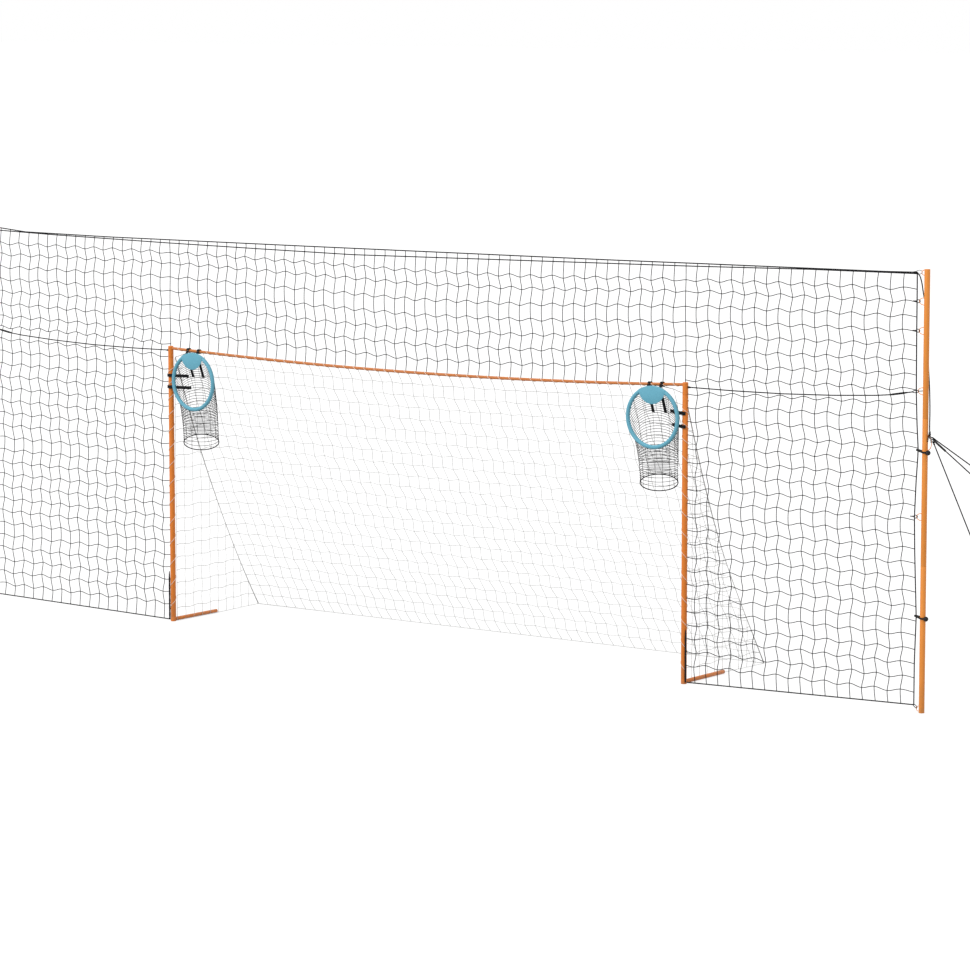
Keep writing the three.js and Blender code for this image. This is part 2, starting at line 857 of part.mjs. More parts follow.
function ballTie(height) {
  const polePull = poleRadius + gap + 0.2;
  const netPull = cordHalf + gap + 1;
  const loop = (extra) => beltOutline(polePull + extra, netPull + extra, edgeRopeOut, 12);
  const shape = new THREE.Shape(loop(elasticDiameter));
  shape.holes.push(new THREE.Path(loop(0)));
  const depth = elasticDiameter;
  const band = new THREE.ExtrudeGeometry(shape, { depth, bevelEnabled: false });
  band.translate(0, 0, -depth / 2);
  band.rotateZ(Math.PI);
  const ball = new THREE.SphereGeometry(ballDiameter / 2, 10, 6);
  ball.rotateX(Math.PI / 2);
  const angle = -17 * degrees;
  const out = polePull + elasticDiameter - 2.5 + ballDiameter / 2;
  ball.translate(out * Math.cos(angle), out * Math.sin(angle), 0);
  const body = joined(band, ball);
  body.translate(poleX, 0, height);
  return body;
}

function bottomTie() {
  const corner = V(edgeX + cordHalf, 0, netBottomAtPole - cordHalf);
  const onFootRing = onRing(footRing, bottomTieAngle * degrees).at.add(V(poleX, 0, 0));
  const along = onFootRing.clone().sub(corner).normalize();
  const reach = corner.distanceTo(onFootRing);
  const length = reach + ringWire / 2 + bendFacet + bottomTieClear + bottomTieWire;
  const body = link(length, bottomTieWidth, bottomTieWire, bottomTieThickness);
  return placed(body, corner.addScaledVector(along, gap), along);
}

// ---- corner targets ---------------------------------------------------------------------

function targetRing(target) {
  const ring = new THREE.TorusGeometry(targetRadius, targetTube / 2, 8, 28);
  const plate = new THREE.CylinderGeometry(discDiameter / 2, discDiameter / 2, discThickness, 20);
  plate.translate(0, 0, -targetRadius);
  const inside = new THREE.CylinderGeometry(targetRadius, targetRadius, discThickness + 2, 28);
  const disc = common(plate, inside);
  disc.rotateX(Math.PI);
  ring.rotateX(Math.PI / 2);
  const body = joined(ring, disc);
  body.translate(target.x, ringY, target.z);
  return body;
}

// From a level circle about the origin to the hem's tilted one
function toHem(target) {
  const turn = (angle) => new THREE.Matrix4().makeRotationZ(angle * degrees);
  return new THREE.Matrix4()
    .makeTranslation(target.x + hemShift, ringY + hemBack, target.z - hemDrop)
    .multiply(turn(target.hemTurn))
    .multiply(new THREE.Matrix4().makeRotationX(-hemTilt * degrees))
    .multiply(turn(-target.hemTurn));
}

// Points of the sleeve: around is an angle from +X over the top, along runs from ring to hem
function sleevePoint(target, around, along) {
  const [c, s] = [Math.cos(around), Math.sin(around)];
  const mouthY = ringY + targetTube / 2 + gap + sleeveWall / 2 + sleeveTilt;
  const mouth = V(target.x + targetRadius * c, mouthY, target.z + targetRadius * s);
  const hem = V(c, s, 0).multiplyScalar(hemDiameter / 2).applyMatrix4(toHem(target));
  const bulge = Math.max(0, s);
  const pull = V(
    lerp(mouth.x, hem.x, sleevePull),
    lerp(mouth.y, hem.y, sleevePull) + 45 * bulge,
    lerp(mouth.z, hem.z, 0.5) + 205 * bulge,
  );
  return new THREE.QuadraticBezierCurve3(mouth, pull, hem).getPoint(along);
}

function sleeve(target) {
  const positions = [];
  const step = 1e-3;
  const point = (i, j, side) => {
    const around = (i / sleeveSegments) * 2 * Math.PI;
    const along = j / sleeveSteps;
    const inside = Math.min(Math.max(along, step), 1 - step);
    const on = (da, dl) => sleevePoint(target, around + da, inside + dl);
    const du = on(step, 0).sub(on(-step, 0));
    const dv = on(0, step).sub(on(0, -step));
    const out = du.cross(dv).normalize();
    return sleevePoint(target, around, along).addScaledVector(out, (side * sleeveWall) / 2);
  };
  const quad = (a, b, c, d) => {
    for (const p of [a, b, c, a, c, d]) {
      positions.push(p.x, p.y, p.z);
    }
  };
  for (let i = 0; i < sleeveSegments; i++) {
    const next = (i + 1) % sleeveSegments;
    for (let j = 0; j < sleeveSteps; j++) {
      quad(point(i, j, 1), point(next, j, 1), point(next, j + 1, 1), point(i, j + 1, 1));
      quad(point(i, j, -1), point(i, j + 1, -1), point(next, j + 1, -1), point(next, j, -1));
    }
    const end = sleeveSteps;
    quad(point(i, 0, 1), point(i, 0, -1), point(next, 0, -1), point(next, 0, 1));
    quad(point(i, end, 1), point(next, end, 1), point(next, end, -1), point(i, end, -1));
  }
  const wall = new THREE.BufferGeometry();
  wall.setAttribute('position', new THREE.Float32BufferAttribute(positions, 3));
  const hoop = new THREE.TorusGeometry(hemDiameter / 2, hemWire / 2, 5, sleeveSegments);
  hoop.applyMatrix4(toHem(target));
  const clear = 0.6;
  const barTools = target.barStraps.map((offset) => barStrap(target, offset, clear));
  const postTools = target.postStraps.map((height) => postStrap(target, height, clear));
  return without(joined(wall, hoop), ...barTools, ...postTools);
}

// A strap's side view: a band round a bar at the origin, then a tail through the given points
function strapShape(coreRadius, tail, grown) {
  const inner = bandRadius(coreRadius) - grown;
  const ring = new THREE.Shape(circlePoints(inner + strapThickness + 2 * grown, strapSides));
  ring.holes.push(new THREE.Path(circlePoints(inner, strapSides)));
  const half = strapThickness / 2 + grown;
  const left = [];
  const right = [];
  tail.forEach((p, k) => {
    const before = tail[Math.max(k - 1, 0)];
    const after = tail[Math.min(k + 1, tail.length - 1)];
    const across = after.clone().sub(before).normalize();
    across.set(-across.y, across.x).multiplyScalar(half);
    left.push(p.clone().add(across));
    right.unshift(p.clone().sub(across));
  });
  return [ring, new THREE.Shape([...left, ...right])];
}

function strapBody(coreRadius, tail, grown) {
  const depth = strapWidth + 2 * grown;
  const pieces = strapShape(coreRadius, tail, grown).map((shape) => {
    const body = new THREE.ExtrudeGeometry(shape, { depth, bevelEnabled: false });
    body.translate(0, 0, -depth / 2);
    return body;
  });
  return joined(...pieces);
}

const behindRing = ringY + targetTube / 2 + gap + strapThickness / 2;

function barStrap(target, offset, grown = 0) {
  const x = target.x + offset;
  const z = barZ(x);
  const ringTop = target.z + targetRadius;
  const onBand = -(bandRadius(roundBar) + strapThickness / 2 - 0.8);
  const tail = [
    new THREE.Vector2(onBand, 0),
    new THREE.Vector2(behindRing, ringTop - z),
    new THREE.Vector2(behindRing, ringTop - z - 18),
    new THREE.Vector2(behindRing + 66, ringTop - z - 172),
  ];
  const body = strapBody(roundBar, tail, grown);
  body.applyMatrix4(new THREE.Matrix4().makeBasis(V(0, 1, 0), V(0, 0, 1), V(1, 0, 0)));
  body.translate(x, 0, z);
  return body;
}

function postStrap(target, height, grown = 0) {
  const z = target.z + height;
  const ringSide = target.fromPost - Math.sqrt(targetRadius ** 2 - height ** 2);
  const tail = [
    new THREE.Vector2(0, behindRing),
    new THREE.Vector2(-ringSide - 18, behindRing),
    new THREE.Vector2(-ringSide - 110, behindRing + 26),
  ];
  const body = strapBody(roundPost, tail, grown);
  body.translate(postX, 0, z);
  return body;
}

// ---- ropes at the right pole -----------------------------------------------------------

function eye(at, out, along, radius, wire) {
  const body = new THREE.TorusGeometry(radius, wire, 6, 10);
  return placed(body, at, out.clone().normalize(), along);
}

// Guy ropes run to the ground about 2 m out and 1.4 m to each side, or straight out
const guys = {
  guy_rope_rear: { angle: 42, towards: V(2300, 1300, -1890), length: 432 },
  guy_rope_side: { angle: 26, towards: V(2600, 0, -1880), length: 430 },
  guy_rope_front: { angle: 10, towards: V(1900, -1550, -1870), length: 1190 },
};

function guyFrame({ angle, towards }) {
  const { at, out } = onRing(guyRing, angle * degrees);
  const wire = guyDiameter / 2 - 0.3;
  const seat = guyEyeRadius - wire - ringWire / 2 - gap - 0.6 * bendFacet;
  const centre = at.clone().add(V(poleX, 0, 0)).addScaledVector(out, seat);
  const start = centre.clone().addScaledVector(out, guyEyeRadius);
  return { centre, out, wire, start, along: towards.clone().normalize() };
}

function guyRope(guy) {
  const { centre, out, wire, start, along } = guyFrame(guy);
  const end = start.clone().addScaledVector(along, guy.length);
  const farEye = end.clone().addScaledVector(along, guyEndEyeRadius);
  return joined(
    eye(centre, out, along, guyEyeRadius, wire),
    rod(start, end, guyDiameter / 2, 8),
    eye(farEye, along, along, guyEndEyeRadius, guyDiameter / 2),
  );
}

function guyAdjuster(guy) {
  const { start, along } = guyFrame(guy);
  const radius = adjusterDiameter / 2;
  const bevel = 1.5;
  const profile = [
    [holeRadius(guyDiameter / 2, 8), 0],
    [radius - bevel, 0],
    [radius, bevel],
    [radius, adjusterLength - bevel],
    [radius - bevel, adjusterLength],
    [holeRadius(guyDiameter / 2, 8), adjusterLength],
    [holeRadius(guyDiameter / 2, 8), 0],
  ];
  const body = turned(profile, 12);
  body.rotateY(Math.PI / 2);
  return placed(body, start.clone().addScaledVector(along, adjusterFromEye), along);
}

// From the head rope's knot, behind the pole, down its outer side to the guy ring. Each point is
// beyond the pole's axis, behind it and below the head ring.
const tieDownRoute = [
  [-86, 11, 2],
  [-68, 18, 26],
  [-55, 24, 75],
  [-45, 29, 145],
  [-28, 33, 225],
  [-8, 32, 325],
  [10, 27, 435],
  [20, 21, 545],
  [25, 15, 665],
  [28, 9, 795],
  [31, 3, 935],
  [34, 0, 1045],
];

function tieDownCord() {
  const { at, out } = onRing(guyRing, tieDownAngle * degrees);
  const seat = ringWire / 2 + gap + tieDownKnot / 2;
  const end = at.addScaledVector(out, seat);
  const route = tieDownRoute.map(([x, y, below]) => V(x, y, headRingHeight - below));
  const points = [...route, end].map((p) => p.add(V(poleX, 0, 0)));
  const path = new THREE.CatmullRomCurve3(points);
  return joined(tube(path, guyDiameter / 2, 8, 20), knot(end, tieDownKnot));
}

// ---- the assembly ---------------------------------------------------------------------

const assembly = new THREE.Group();

function add(name, geometry, material) {
  const mesh = new THREE.Mesh(closed(geometry), material);
  mesh.name = name;
  assembly.add(mesh);
}

// The right-hand piece and its mirror image
function addPair(name, geometry, material) {
  add(`${name}_right`, geometry, material);
  add(`${name}_left`, mirrored(geometry), material);
}

['lower', 'middle', 'upper'].forEach((level, number) => {
  addPair(`pole_${level}`, poleSection(number), finish.pole);
});
addPair('pole_button_lower', springButton(1), finish.button);
addPair('pole_button_upper', springButton(2), finish.button);

addPair('goal_post', goalPost(), finish.post);
addPair('goal_elbow', cornerElbow(), finish.post);
addPair('goal_foot', groundFoot(), finish.post);
add('crossbar_right', crossbarHalf(1), finish.bar);
add('crossbar_left', crossbarHalf(-1), finish.bar);

add('goal_net_back', goalBackNet(), finish.whiteTwine);
addPair('goal_net_side', goalSideNet(), finish.whiteTwine);
addPair('lacing_post', postLacing(), finish.lacing);
add('lacing_crossbar', barLacing(), finish.lacing);

add('stop_net_upper', upperNet(), finish.blackTwine);
addPair('stop_net_side', sideNet(), finish.blackTwine);
add('head_rope', headRope(), finish.blackRope);
addPair('middle_rope', midRope(), finish.blackRope);
addPair('bottom_tie', bottomTie(), finish.blackRope);
['top', 'second', 'low'].forEach((place, k) => {
  addPair(`net_clip_${place}`, snapClip(clipHeights[k]), finish.clip);
});
['upper', 'lower'].forEach((place, k) => {
  addPair(`ball_tie_${place}`, ballTie(ballTieHeights[k]), finish.elastic);
});

for (const [side, target] of Object.entries(targets)) {
  const addTarget = (name, geometry, material) => {
    add(`target_${name}_${side}`, side === 'left' ? mirrored(geometry) : geometry, material);
  };
  addTarget('ring', targetRing(target), finish.target);
  addTarget('sleeve', sleeve(target), finish.blackTwine);
  ['outer', 'inner'].forEach((place, k) => {
    addTarget(`bar_strap_${place}`, barStrap(target, target.barStraps[k]), finish.strap);
  });
  ['upper', 'lower'].forEach((place, k) => {
    addTarget(`post_strap_${place}`, postStrap(target, target.postStraps[k]), finish.strap);
  });
}

for (const [name, guy] of Object.entries(guys)) {
  add(name, guyRope(guy), finish.blackRope);
}
add('guy_adjuster', guyAdjuster(guys.guy_rope_side), finish.elastic);
add('tie_down_cord', tieDownCord(), finish.blackRope);

// The outline's front is the corner targets' rings and its back is the white net's hem
const front = ringY - targetTube / 2;
const back = goalDepth + cordHalf;
assembly.position.y = -(front + back) / 2;

const part = new THREE.Group();
part.add(assembly);

export default part;
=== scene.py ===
# %% [markdown]
# # A ball-stop net on two poles, hung round a portable goal
# The hard parts come from CAD as a fixed frame: two sectional poles and a goal frame with its
# fittings. This lesson dresses them: real meshes of twine, ropes with their knots and eyes,
# lacing cord, corner targets with sleeve nets, and a finish for every surface.
# Lengths are metres. X runs along the goal line, Y to the back of the goal, Z is up.

import math

import bpy
import numpy as np
from mathutils import Matrix, Vector


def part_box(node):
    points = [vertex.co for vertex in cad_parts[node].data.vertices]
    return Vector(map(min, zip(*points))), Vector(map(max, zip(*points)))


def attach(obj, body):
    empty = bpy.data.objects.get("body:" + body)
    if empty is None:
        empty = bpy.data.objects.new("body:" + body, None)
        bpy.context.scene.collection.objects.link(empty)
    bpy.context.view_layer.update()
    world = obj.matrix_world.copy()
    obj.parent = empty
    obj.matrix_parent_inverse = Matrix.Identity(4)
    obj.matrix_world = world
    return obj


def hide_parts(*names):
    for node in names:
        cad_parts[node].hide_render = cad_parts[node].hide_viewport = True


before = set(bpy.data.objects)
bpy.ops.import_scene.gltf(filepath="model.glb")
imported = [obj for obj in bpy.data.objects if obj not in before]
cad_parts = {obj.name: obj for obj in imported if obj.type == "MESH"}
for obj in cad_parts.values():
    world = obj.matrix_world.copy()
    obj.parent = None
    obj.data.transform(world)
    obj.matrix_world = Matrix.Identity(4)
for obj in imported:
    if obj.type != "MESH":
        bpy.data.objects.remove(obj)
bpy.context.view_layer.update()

# %% Where the goal line lies
low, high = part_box("pole_lower_right")
line_y = (low.y + high.y) / 2
pole_x, post_x = 4.34, 2.39


def at(x, y, z):
    """A point given from the middle of the goal line."""
    return Vector((x, line_y + y, z))


def linked(name, data):
    """A new object in the scene."""
    piece = bpy.data.objects.new(name, data)
    bpy.context.scene.collection.objects.link(piece)
    return piece


print("goal line at y =", round(line_y, 4))

# %% [markdown]
# The camera stands where the photographer stood: far away with a long lens, a little above the
# net, and to the right of it. A long lens keeps the two poles nearly the same height.

# %% Camera
LONG_SIDE_PX, FOCAL_PX = 971, 4054.0
YAW, PITCH, ROLL = math.radians(36.346), math.radians(7.192), math.radians(-0.021)
camera_data = bpy.data.cameras.new("camera")
camera_data.lens = FOCAL_PX / LONG_SIDE_PX * camera_data.sensor_width
camera_data.clip_end = 300
camera = linked("camera", camera_data)
camera.location = at(18.127, -23.775, 5.017)
turn = Matrix.Rotation(YAW, 3, "Z") @ Matrix.Rotation(math.pi / 2 - PITCH, 3, "X")
camera.rotation_euler = (turn @ Matrix.Rotation(ROLL, 3, "Z")).to_euler()
bpy.context.scene.camera = camera
print("lens", round(camera_data.lens, 1), "mm")

# %% [markdown]
# Ropes, cords and twine are round things that follow a path, so one helper makes them all. It
# walks along the points, keeps a ring of corners square to the path, and stores a UV map whose
# V runs in metres along the cord, which the twist of the rope needs later. A net has thousands
# of strands, which would take hours one by one, so the helper takes many paths at once.


# %% Strands: many paths, one mesh
def ring_frames(points):
    """Two directions square to the path at each point, turned as little as possible."""
    tangents = np.gradient(points, axis=0)
    tangents /= np.linalg.norm(tangents, axis=1)[:, None]
    start = np.array([0.0, 0.0, 1.0])
    if abs(tangents[0] @ start) > 0.9:
        start = np.array([0.0, 1.0, 0.0])
    sides, ups = [], []
    for tangent in tangents:
        side = np.cross(tangent, start)
        side /= np.linalg.norm(side)
        start = np.cross(side, tangent)
        sides.append(side)
        ups.append(start)
    return np.array(sides), np.array(ups)


def strands(name, paths, radius, corners=6, loop=False):
    """One mesh of round strands. radius is a number, or one per point of each path."""
    verts, faces, uvs = [], [], []
    for number, path in enumerate(paths):
        points = np.array([tuple(p) for p in path], float)
        if loop:
            points = np.vstack([points[-1:], points, points[:2]])
        sides, ups = ring_frames(points)
        thick = radius[number] if isinstance(radius, list) else radius
        thick = np.broadcast_to(np.asarray(thick, float), (len(path),))
        if loop:
            points, sides, ups = points[1:-1], sides[1:-1], ups[1:-1]
            thick = np.append(thick, thick[0])
        steps = np.linalg.norm(np.diff(points, axis=0), axis=1)
        along = np.concatenate([[0], np.cumsum(steps)])
        angle = np.arange(corners) / corners * 2 * math.pi
        ring = (
            points[:, None, :]
            + (np.cos(angle)[None, :, None] * sides[:, None, :]) * thick[:, None, None]
            + (np.sin(angle)[None, :, None] * ups[:, None, :]) * thick[:, None, None]
        )
        base = len(verts)
        count = len(points) - 1 if loop else len(points)
        verts.extend(ring[:count].reshape(-1, 3))
        for i in range(len(points) - 1):
            a, b = base + i * corners, base + ((i + 1) % count) * corners
            for j in range(corners):
                k = (j + 1) % corners
                faces.append((a + j, a + k, b + k, b + j))
                u0, u1 = j / corners, (j + 1) / corners
                v0, v1 = along[i], along[i + 1]
                uvs += [(u0, v0), (u1, v0), (u1, v1), (u0, v1)]
        if not loop:
            end = base + (count - 1) * corners
            faces.append(tuple(base + j for j in reversed(range(corners))))
            faces.append(tuple(end + j for j in range(corners)))
            uvs += [(0.5, 0.0)] * corners + [(0.5, along[-1])] * corners
    mesh = bpy.data.meshes.new(name)
    mesh.from_pydata([tuple(v) for v in verts], [], faces)
    layer = mesh.uv_layers.new(name="lay")
    layer.data.foreach_set("uv", np.array(uvs, np.float32).ravel())
    mesh.polygons.foreach_set("use_smooth", np.ones(len(mesh.polygons), bool))
    mesh.update()
    return linked(name, mesh)


def smooth_path(points, steps):
    """A rounded path through a few points, with about `steps` points between each two."""
    p = np.array([tuple(q) for q in points], float)
    p = np.vstack([2 * p[0] - p[1], p, 2 * p[-1] - p[-2]])
    out = []
    for i in range(1, len(p) - 2):
        a, b, c, d = p[i - 1 : i + 3]
        for k in range(steps):
            t = k / steps
            square, cube = 2 * a - 5 * b + 4 * c - d, 3 * b - a - 3 * c + d
            out.append(0.5 * (2 * b + (c - a) * t + square * t * t + cube * t ** 3))
    out.append(p[-2])
    return out


print("helpers for cords are ready")

# %% [markdown]
# Several pieces start as a primitive and are shaped by hand in edit mode. Blender's operators act
# on everything that is selected, so these small helpers deselect first, work on one piece, and
# put the finished piece's origin at the world's origin, like the CAD nodes. Most pieces come in
# pairs, so one helper keeps a right piece together with its mirror image.


# %% Small modelling helpers
def nothing_selected():
    if bpy.context.mode != "OBJECT":
        bpy.ops.object.mode_set(mode="OBJECT")
    bpy.ops.object.select_all(action="DESELECT")


def only(piece):
    nothing_selected()
    piece.select_set(True)
    bpy.context.view_layer.objects.active = piece


def added(operator, **settings):
    """Adds a primitive and applies its place, turn and scale."""
    nothing_selected()
    operator(**settings)
    piece = bpy.context.view_layer.objects.active
    only(piece)
    bpy.ops.object.transform_apply(location=True, rotation=True, scale=True)
    return piece


def smooth(piece, degrees=35):
    only(piece)
    bpy.ops.object.shade_smooth_by_angle(angle=math.radians(degrees))
    return piece


def bevelled(piece, width, segments=2, angle=40):
    only(piece)
    bevel = piece.modifiers.new("bevel", "BEVEL")
    bevel.width = width
    bevel.segments = segments
    bevel.limit_method = "ANGLE"
    bevel.angle_limit = math.radians(angle)
    bpy.ops.object.modifier_apply(modifier=bevel.name)
    return piece


def joined(name, pieces):
    """Several closed bodies kept in one object."""
    nothing_selected()
    for piece in pieces:
        piece.select_set(True)
    bpy.context.view_layer.objects.active = pieces[0]
    if len(pieces) > 1:
        bpy.ops.object.join()
    whole = bpy.context.view_layer.objects.active
    whole.name = whole.data.name = name
    return whole


made = []


def keep(piece, finish, slot, *nodes, body="stand"):
    """Gives a finished piece its material and its body, and hides the CAD nodes it stands for."""
    piece.data.materials.clear()
    piece.data.materials.append(finish)
    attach(piece, body)
    if nodes:
        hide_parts(*nodes)
    made.append(piece.name)


def both_sides(right, finish, slot, node):
    """Keeps a piece of the right side and its mirror image on the left."""
    name = right.name.replace("right", "left")
    left = linked(name, right.data.copy())
    left.data.name = name
    left.data.transform(Matrix.Scale(-1, 4, (1, 0, 0)))
    left.data.flip_normals()
    keep(right, finish, slot, node)
    keep(left, finish, slot, node.replace("right", "left"))


print("modelling helpers are ready")

# %% [markdown]
# A finish on a real thing is never one flat colour. The shader maths is written as plain
# expressions: a small class wraps a number socket, and each sign adds its Math node. Colours go
# through Mix nodes, because a Math node would turn them grey.


# %% Shader maths as expressions
class Number:
    """A number inside a node tree. Arithmetic on it adds Math nodes."""

    def __init__(self, nodes, socket):
        self.nodes = nodes
        self.socket = socket

    def _math(self, operation, first, second=None):
        values = {0: first} if second is None else {0: first, 1: second}
        return self.nodes.node("ShaderNodeMath", {"operation": operation}, values)

    def __add__(self, other):
        return self._math("ADD", self, other)

    def __sub__(self, other):
        return self._math("SUBTRACT", self, other)

    def __rsub__(self, other):
        return self._math("SUBTRACT", other, self)

    def __mul__(self, other):
        return self._math("MULTIPLY", self, other)

    __radd__, __rmul__ = __add__, __mul__

    def sine(self):
        return self._math("SINE", self)

    def larger(self, other):
        return self._math("MAXIMUM", self, other)

    def between(self, start, end):
        """0 below start, 1 above end."""
        values = {"Value": self, "From Min": start, "From Max": end}
        return self.nodes.node("ShaderNodeMapRange", {"clamp": True}, values)


class Nodes:
    """The nodes of one tree. node() adds any node and gives one of its outputs."""

    def __init__(self, tree):
        self.tree = tree

    def node(self, kind, settings=None, values=None, output=0):
        node = self.tree.nodes.new(kind)
        for key, value in (settings or {}).items():
            setattr(node, key, value)
        for key, value in (values or {}).items():
            if isinstance(value, Number):
                self.tree.links.new(value.socket, node.inputs[key])
            else:
                node.inputs[key].default_value = value
        return Number(self, node.outputs[output]) if node.outputs else None


print("numbers in a shader can be used in expressions")


# %% A finish: one material
def linear(r, g, b):
    """A colour as seen on screen, 0 to 255, as the linear values that a shader wants."""
    def one(c):
        c /= 255
        return c / 12.92 if c <= 0.04045 else ((c + 0.055) / 1.055) ** 2.4
    return (one(r), one(g), one(b), 1.0)


def lighter(color, times, plus):
    return tuple(min(1.0, c * times + plus) for c in color[:3]) + (1.0,)


class Finish(Nodes):
    """One material, with short names for the nodes that are used most."""

    def __init__(self, name, color, roughness, metallic=0.0, specular=None):
        self.material = bpy.data.materials.new(name)
        self.material.use_nodes = True
        super().__init__(self.material.node_tree)
        self.shader = self.tree.nodes["Principled BSDF"]
        self.shader.inputs["Base Color"].default_value = color
        self.shader.inputs["Roughness"].default_value = roughness
        self.shader.inputs["Metallic"].default_value = metallic
        if specular is not None:
            self.shader.inputs["Specular IOR Level"].default_value = specular
        self.material.diffuse_color = color

    def place(self):
        return self.node("ShaderNodeTexCoord", output="Object")

    def along(self):
        return self.node("ShaderNodeUVMap", {"uv_map": "lay"})

    def parts(self, vector):
        split = self.node("ShaderNodeSeparateXYZ", None, {0: vector})
        return [Number(self, socket) for socket in split.socket.node.outputs]

    def noise(self, scale, detail=2.0):
        values = {"Vector": self.place(), "Scale": scale, "Detail": detail}
        return self.node("ShaderNodeTexNoise", None, values)

    def mixed(self, factor, a, b):
        """Colour a, or b where the factor is 1. The Mix node has its colour sockets at 6 and 7."""
        return self.node("ShaderNodeMix", {"data_type": "RGBA"}, {0: factor, 6: a, 7: b}, output=2)

    def feed(self, name, number):
        self.tree.links.new(number.socket, self.shader.inputs[name])

    def patchy_roughness(self, scale, base, spread, end=0.7):
        self.feed("Roughness", self.noise(scale, 3.0).between(0.3, end) * spread + base)

    def bump(self, height, strength, distance):
        values = {"Height": height, "Strength": strength, "Distance": distance}
        self.feed("Normal", self.node("ShaderNodeBump", None, values))


print("shader helpers are ready")

# %% [markdown]
# Orange paint. Powder coat on steel tube has a very fine orange-peel skin, is a touch duller where
# hands and straps rub it, and picks up grey dust near the ground. Three finishes share one recipe,
# because the poles, the goal frame and the thinner crossbar differ only in shade.

# %% Powder coat
DUST = linear(150, 122, 98)


def powder_coat(name, color):
    paint = Finish(name, color, 0.42, 0.0, 0.45)
    paler = paint.noise(9.0, 5.0).between(0.48, 0.72)
    z = paint.parts(paint.place())[2]
    dust = (1 - z.between(0.0, 0.22)) * paint.noise(30.0, 4.0).between(0.35, 0.7)
    shade = paint.mixed(paler * 0.5, color, lighter(color, 1.10, 0.015))
    paint.feed("Base Color", paint.mixed(dust * 0.45, shade, DUST))
    paint.patchy_roughness(14.0, 0.34, 0.16, 0.8)
    paint.bump(paint.noise(900.0, 1.0), 0.12, 0.0004)
    return paint.material


pole_paint = powder_coat("pole_paint", linear(244, 150, 58))
goal_paint = powder_coat("goal_paint", linear(234, 130, 38))
bar_paint = powder_coat("bar_paint", linear(208, 122, 56))
print("paints:", pole_paint.name, goal_paint.name, bar_paint.name)

# %% [markdown]
# Twine and rope. What says "rope" up close is the lay: strands that run round it in a spiral. The
# UV map knows how far along the cord a point is, so the sine of U plus V draws the spiral, which
# makes both the shadow between the strands and the bump.


# %% Twine, rope and cord
def laid_rope(name, color, strand_count, lay, depth, light=1.5, roughness=0.85):
    rope = Finish(name, color, roughness, 0.0, 0.2)
    u, v, _ = rope.parts(rope.along())
    spiral = (u * (2 * math.pi * strand_count) + v * (2 * math.pi / lay)).sine()
    height = spiral * 0.5 + 0.5
    fuzz = rope.noise(700.0, 3.0)
    # Painted shade and highlight: the colour is darker in the grooves between the strands and
    # paler on their crowns; the fuzz adds random pale fibres of the real cord.
    paler = lighter(color, light, 0.004)
    rope.feed("Base Color", rope.mixed(height * 0.6 + fuzz * 0.3, color, paler))
    rope.bump(height + fuzz * 0.3, 0.8, depth)
    return rope.material


black_twine = laid_rope("black_twine", linear(26, 26, 29), 3, 0.012, 0.0004)
black_rope = laid_rope("black_rope", linear(22, 22, 24), 3, 0.020, 0.0010)
guy_line = laid_rope("guy_line", linear(30, 30, 33), 4, 0.012, 0.0007)
white_twine = laid_rope("white_twine", linear(224, 224, 223), 3, 0.010, 0.0003, 1.08)
lacing_cord = laid_rope("lacing_cord", linear(248, 236, 222), 4, 0.010, 0.0005, 1.05)
elastic_cord = laid_rope("elastic_cord", linear(14, 14, 16), 8, 0.006, 0.0003, 1.8, 0.6)
print("cords:", black_twine.name, black_rope.name, white_twine.name, elastic_cord.name)

# %% [markdown]
# Wire rings are welded to the poles: small ones for the net's clips and ropes, a bigger one on
# the outer side for the guy ropes. Ropes and rings have to meet, so one function gives a place on
# a ring's wire for both. The wire is bent in half an ellipse.

# %% Where the poles' rings are
POLE = 0.020  # the tube's radius
RING_WIRE = 0.005
SUNK = 0.0012  # how deep the wire's ends go into the tube
# each ring's height on the pole, how far it stands out, and how tall it is
guy_ring = (1.861, 0.033, 0.106)
net_rings = {
    "head": (3.015, 0.025, 0.042),
    "top": (2.820, 0.042, 0.054),
    "second": (2.620, 0.042, 0.054),
    "middle": (2.210, 0.042, 0.054),
    "low": (1.350, 0.042, 0.054),
    "foot": (0.028, 0.025, 0.042),
}


def ring_half(ring):
    """Half an ellipse's two radii, in the middle of the wire."""
    z, reach, tall = ring
    return reach + SUNK - RING_WIRE / 2, (tall - RING_WIRE) / 2


def on_ring(ring, degrees, side):
    """A place in the middle of the wire. side is -1 towards the net, 1 outwards."""
    a = math.radians(degrees)
    wide, rise = ring_half(ring)
    return at(pole_x + side * (POLE - SUNK + wide * math.cos(a)), 0, ring[0] + rise * math.sin(a))


def out_of_guy_ring(degrees):
    a = math.radians(degrees)
    wide, rise = ring_half(guy_ring)
    return Vector((math.cos(a) / wide, 0, math.sin(a) / rise)).normalized()


print(len(net_rings), "rings towards the net, one for the guy ropes")

# %% [markdown]
# The free cords come first: three guy ropes that leave the ring on the right pole. Something
# outside the picture holds them taut, so each is straight and ends just outside the view in the
# eye that takes its peg. Each rope is one open curve; its eyes and whippings are separate pieces.

# %% Guy ropes
GUY = 0.0086
NEAR_EYE, NEAR_WIRE = 0.0098, 0.0034
FAR_EYE, FAR_WIRE = 0.014, 0.0023
WHIPPING, THREAD = 0.026, 0.0014
ROPE_POINTS = 24
# the angle on the ring where the rope starts, where it goes, and its length
guys = {
    "guy_rope_rear": (42, Vector((2.300, 1.300, -1.890)), 0.432),
    "guy_rope_side": (26, Vector((2.600, 0.0, -1.880)), 0.430),
    "guy_rope_front": (10, Vector((1.900, -1.550, -1.870)), 1.190),
}


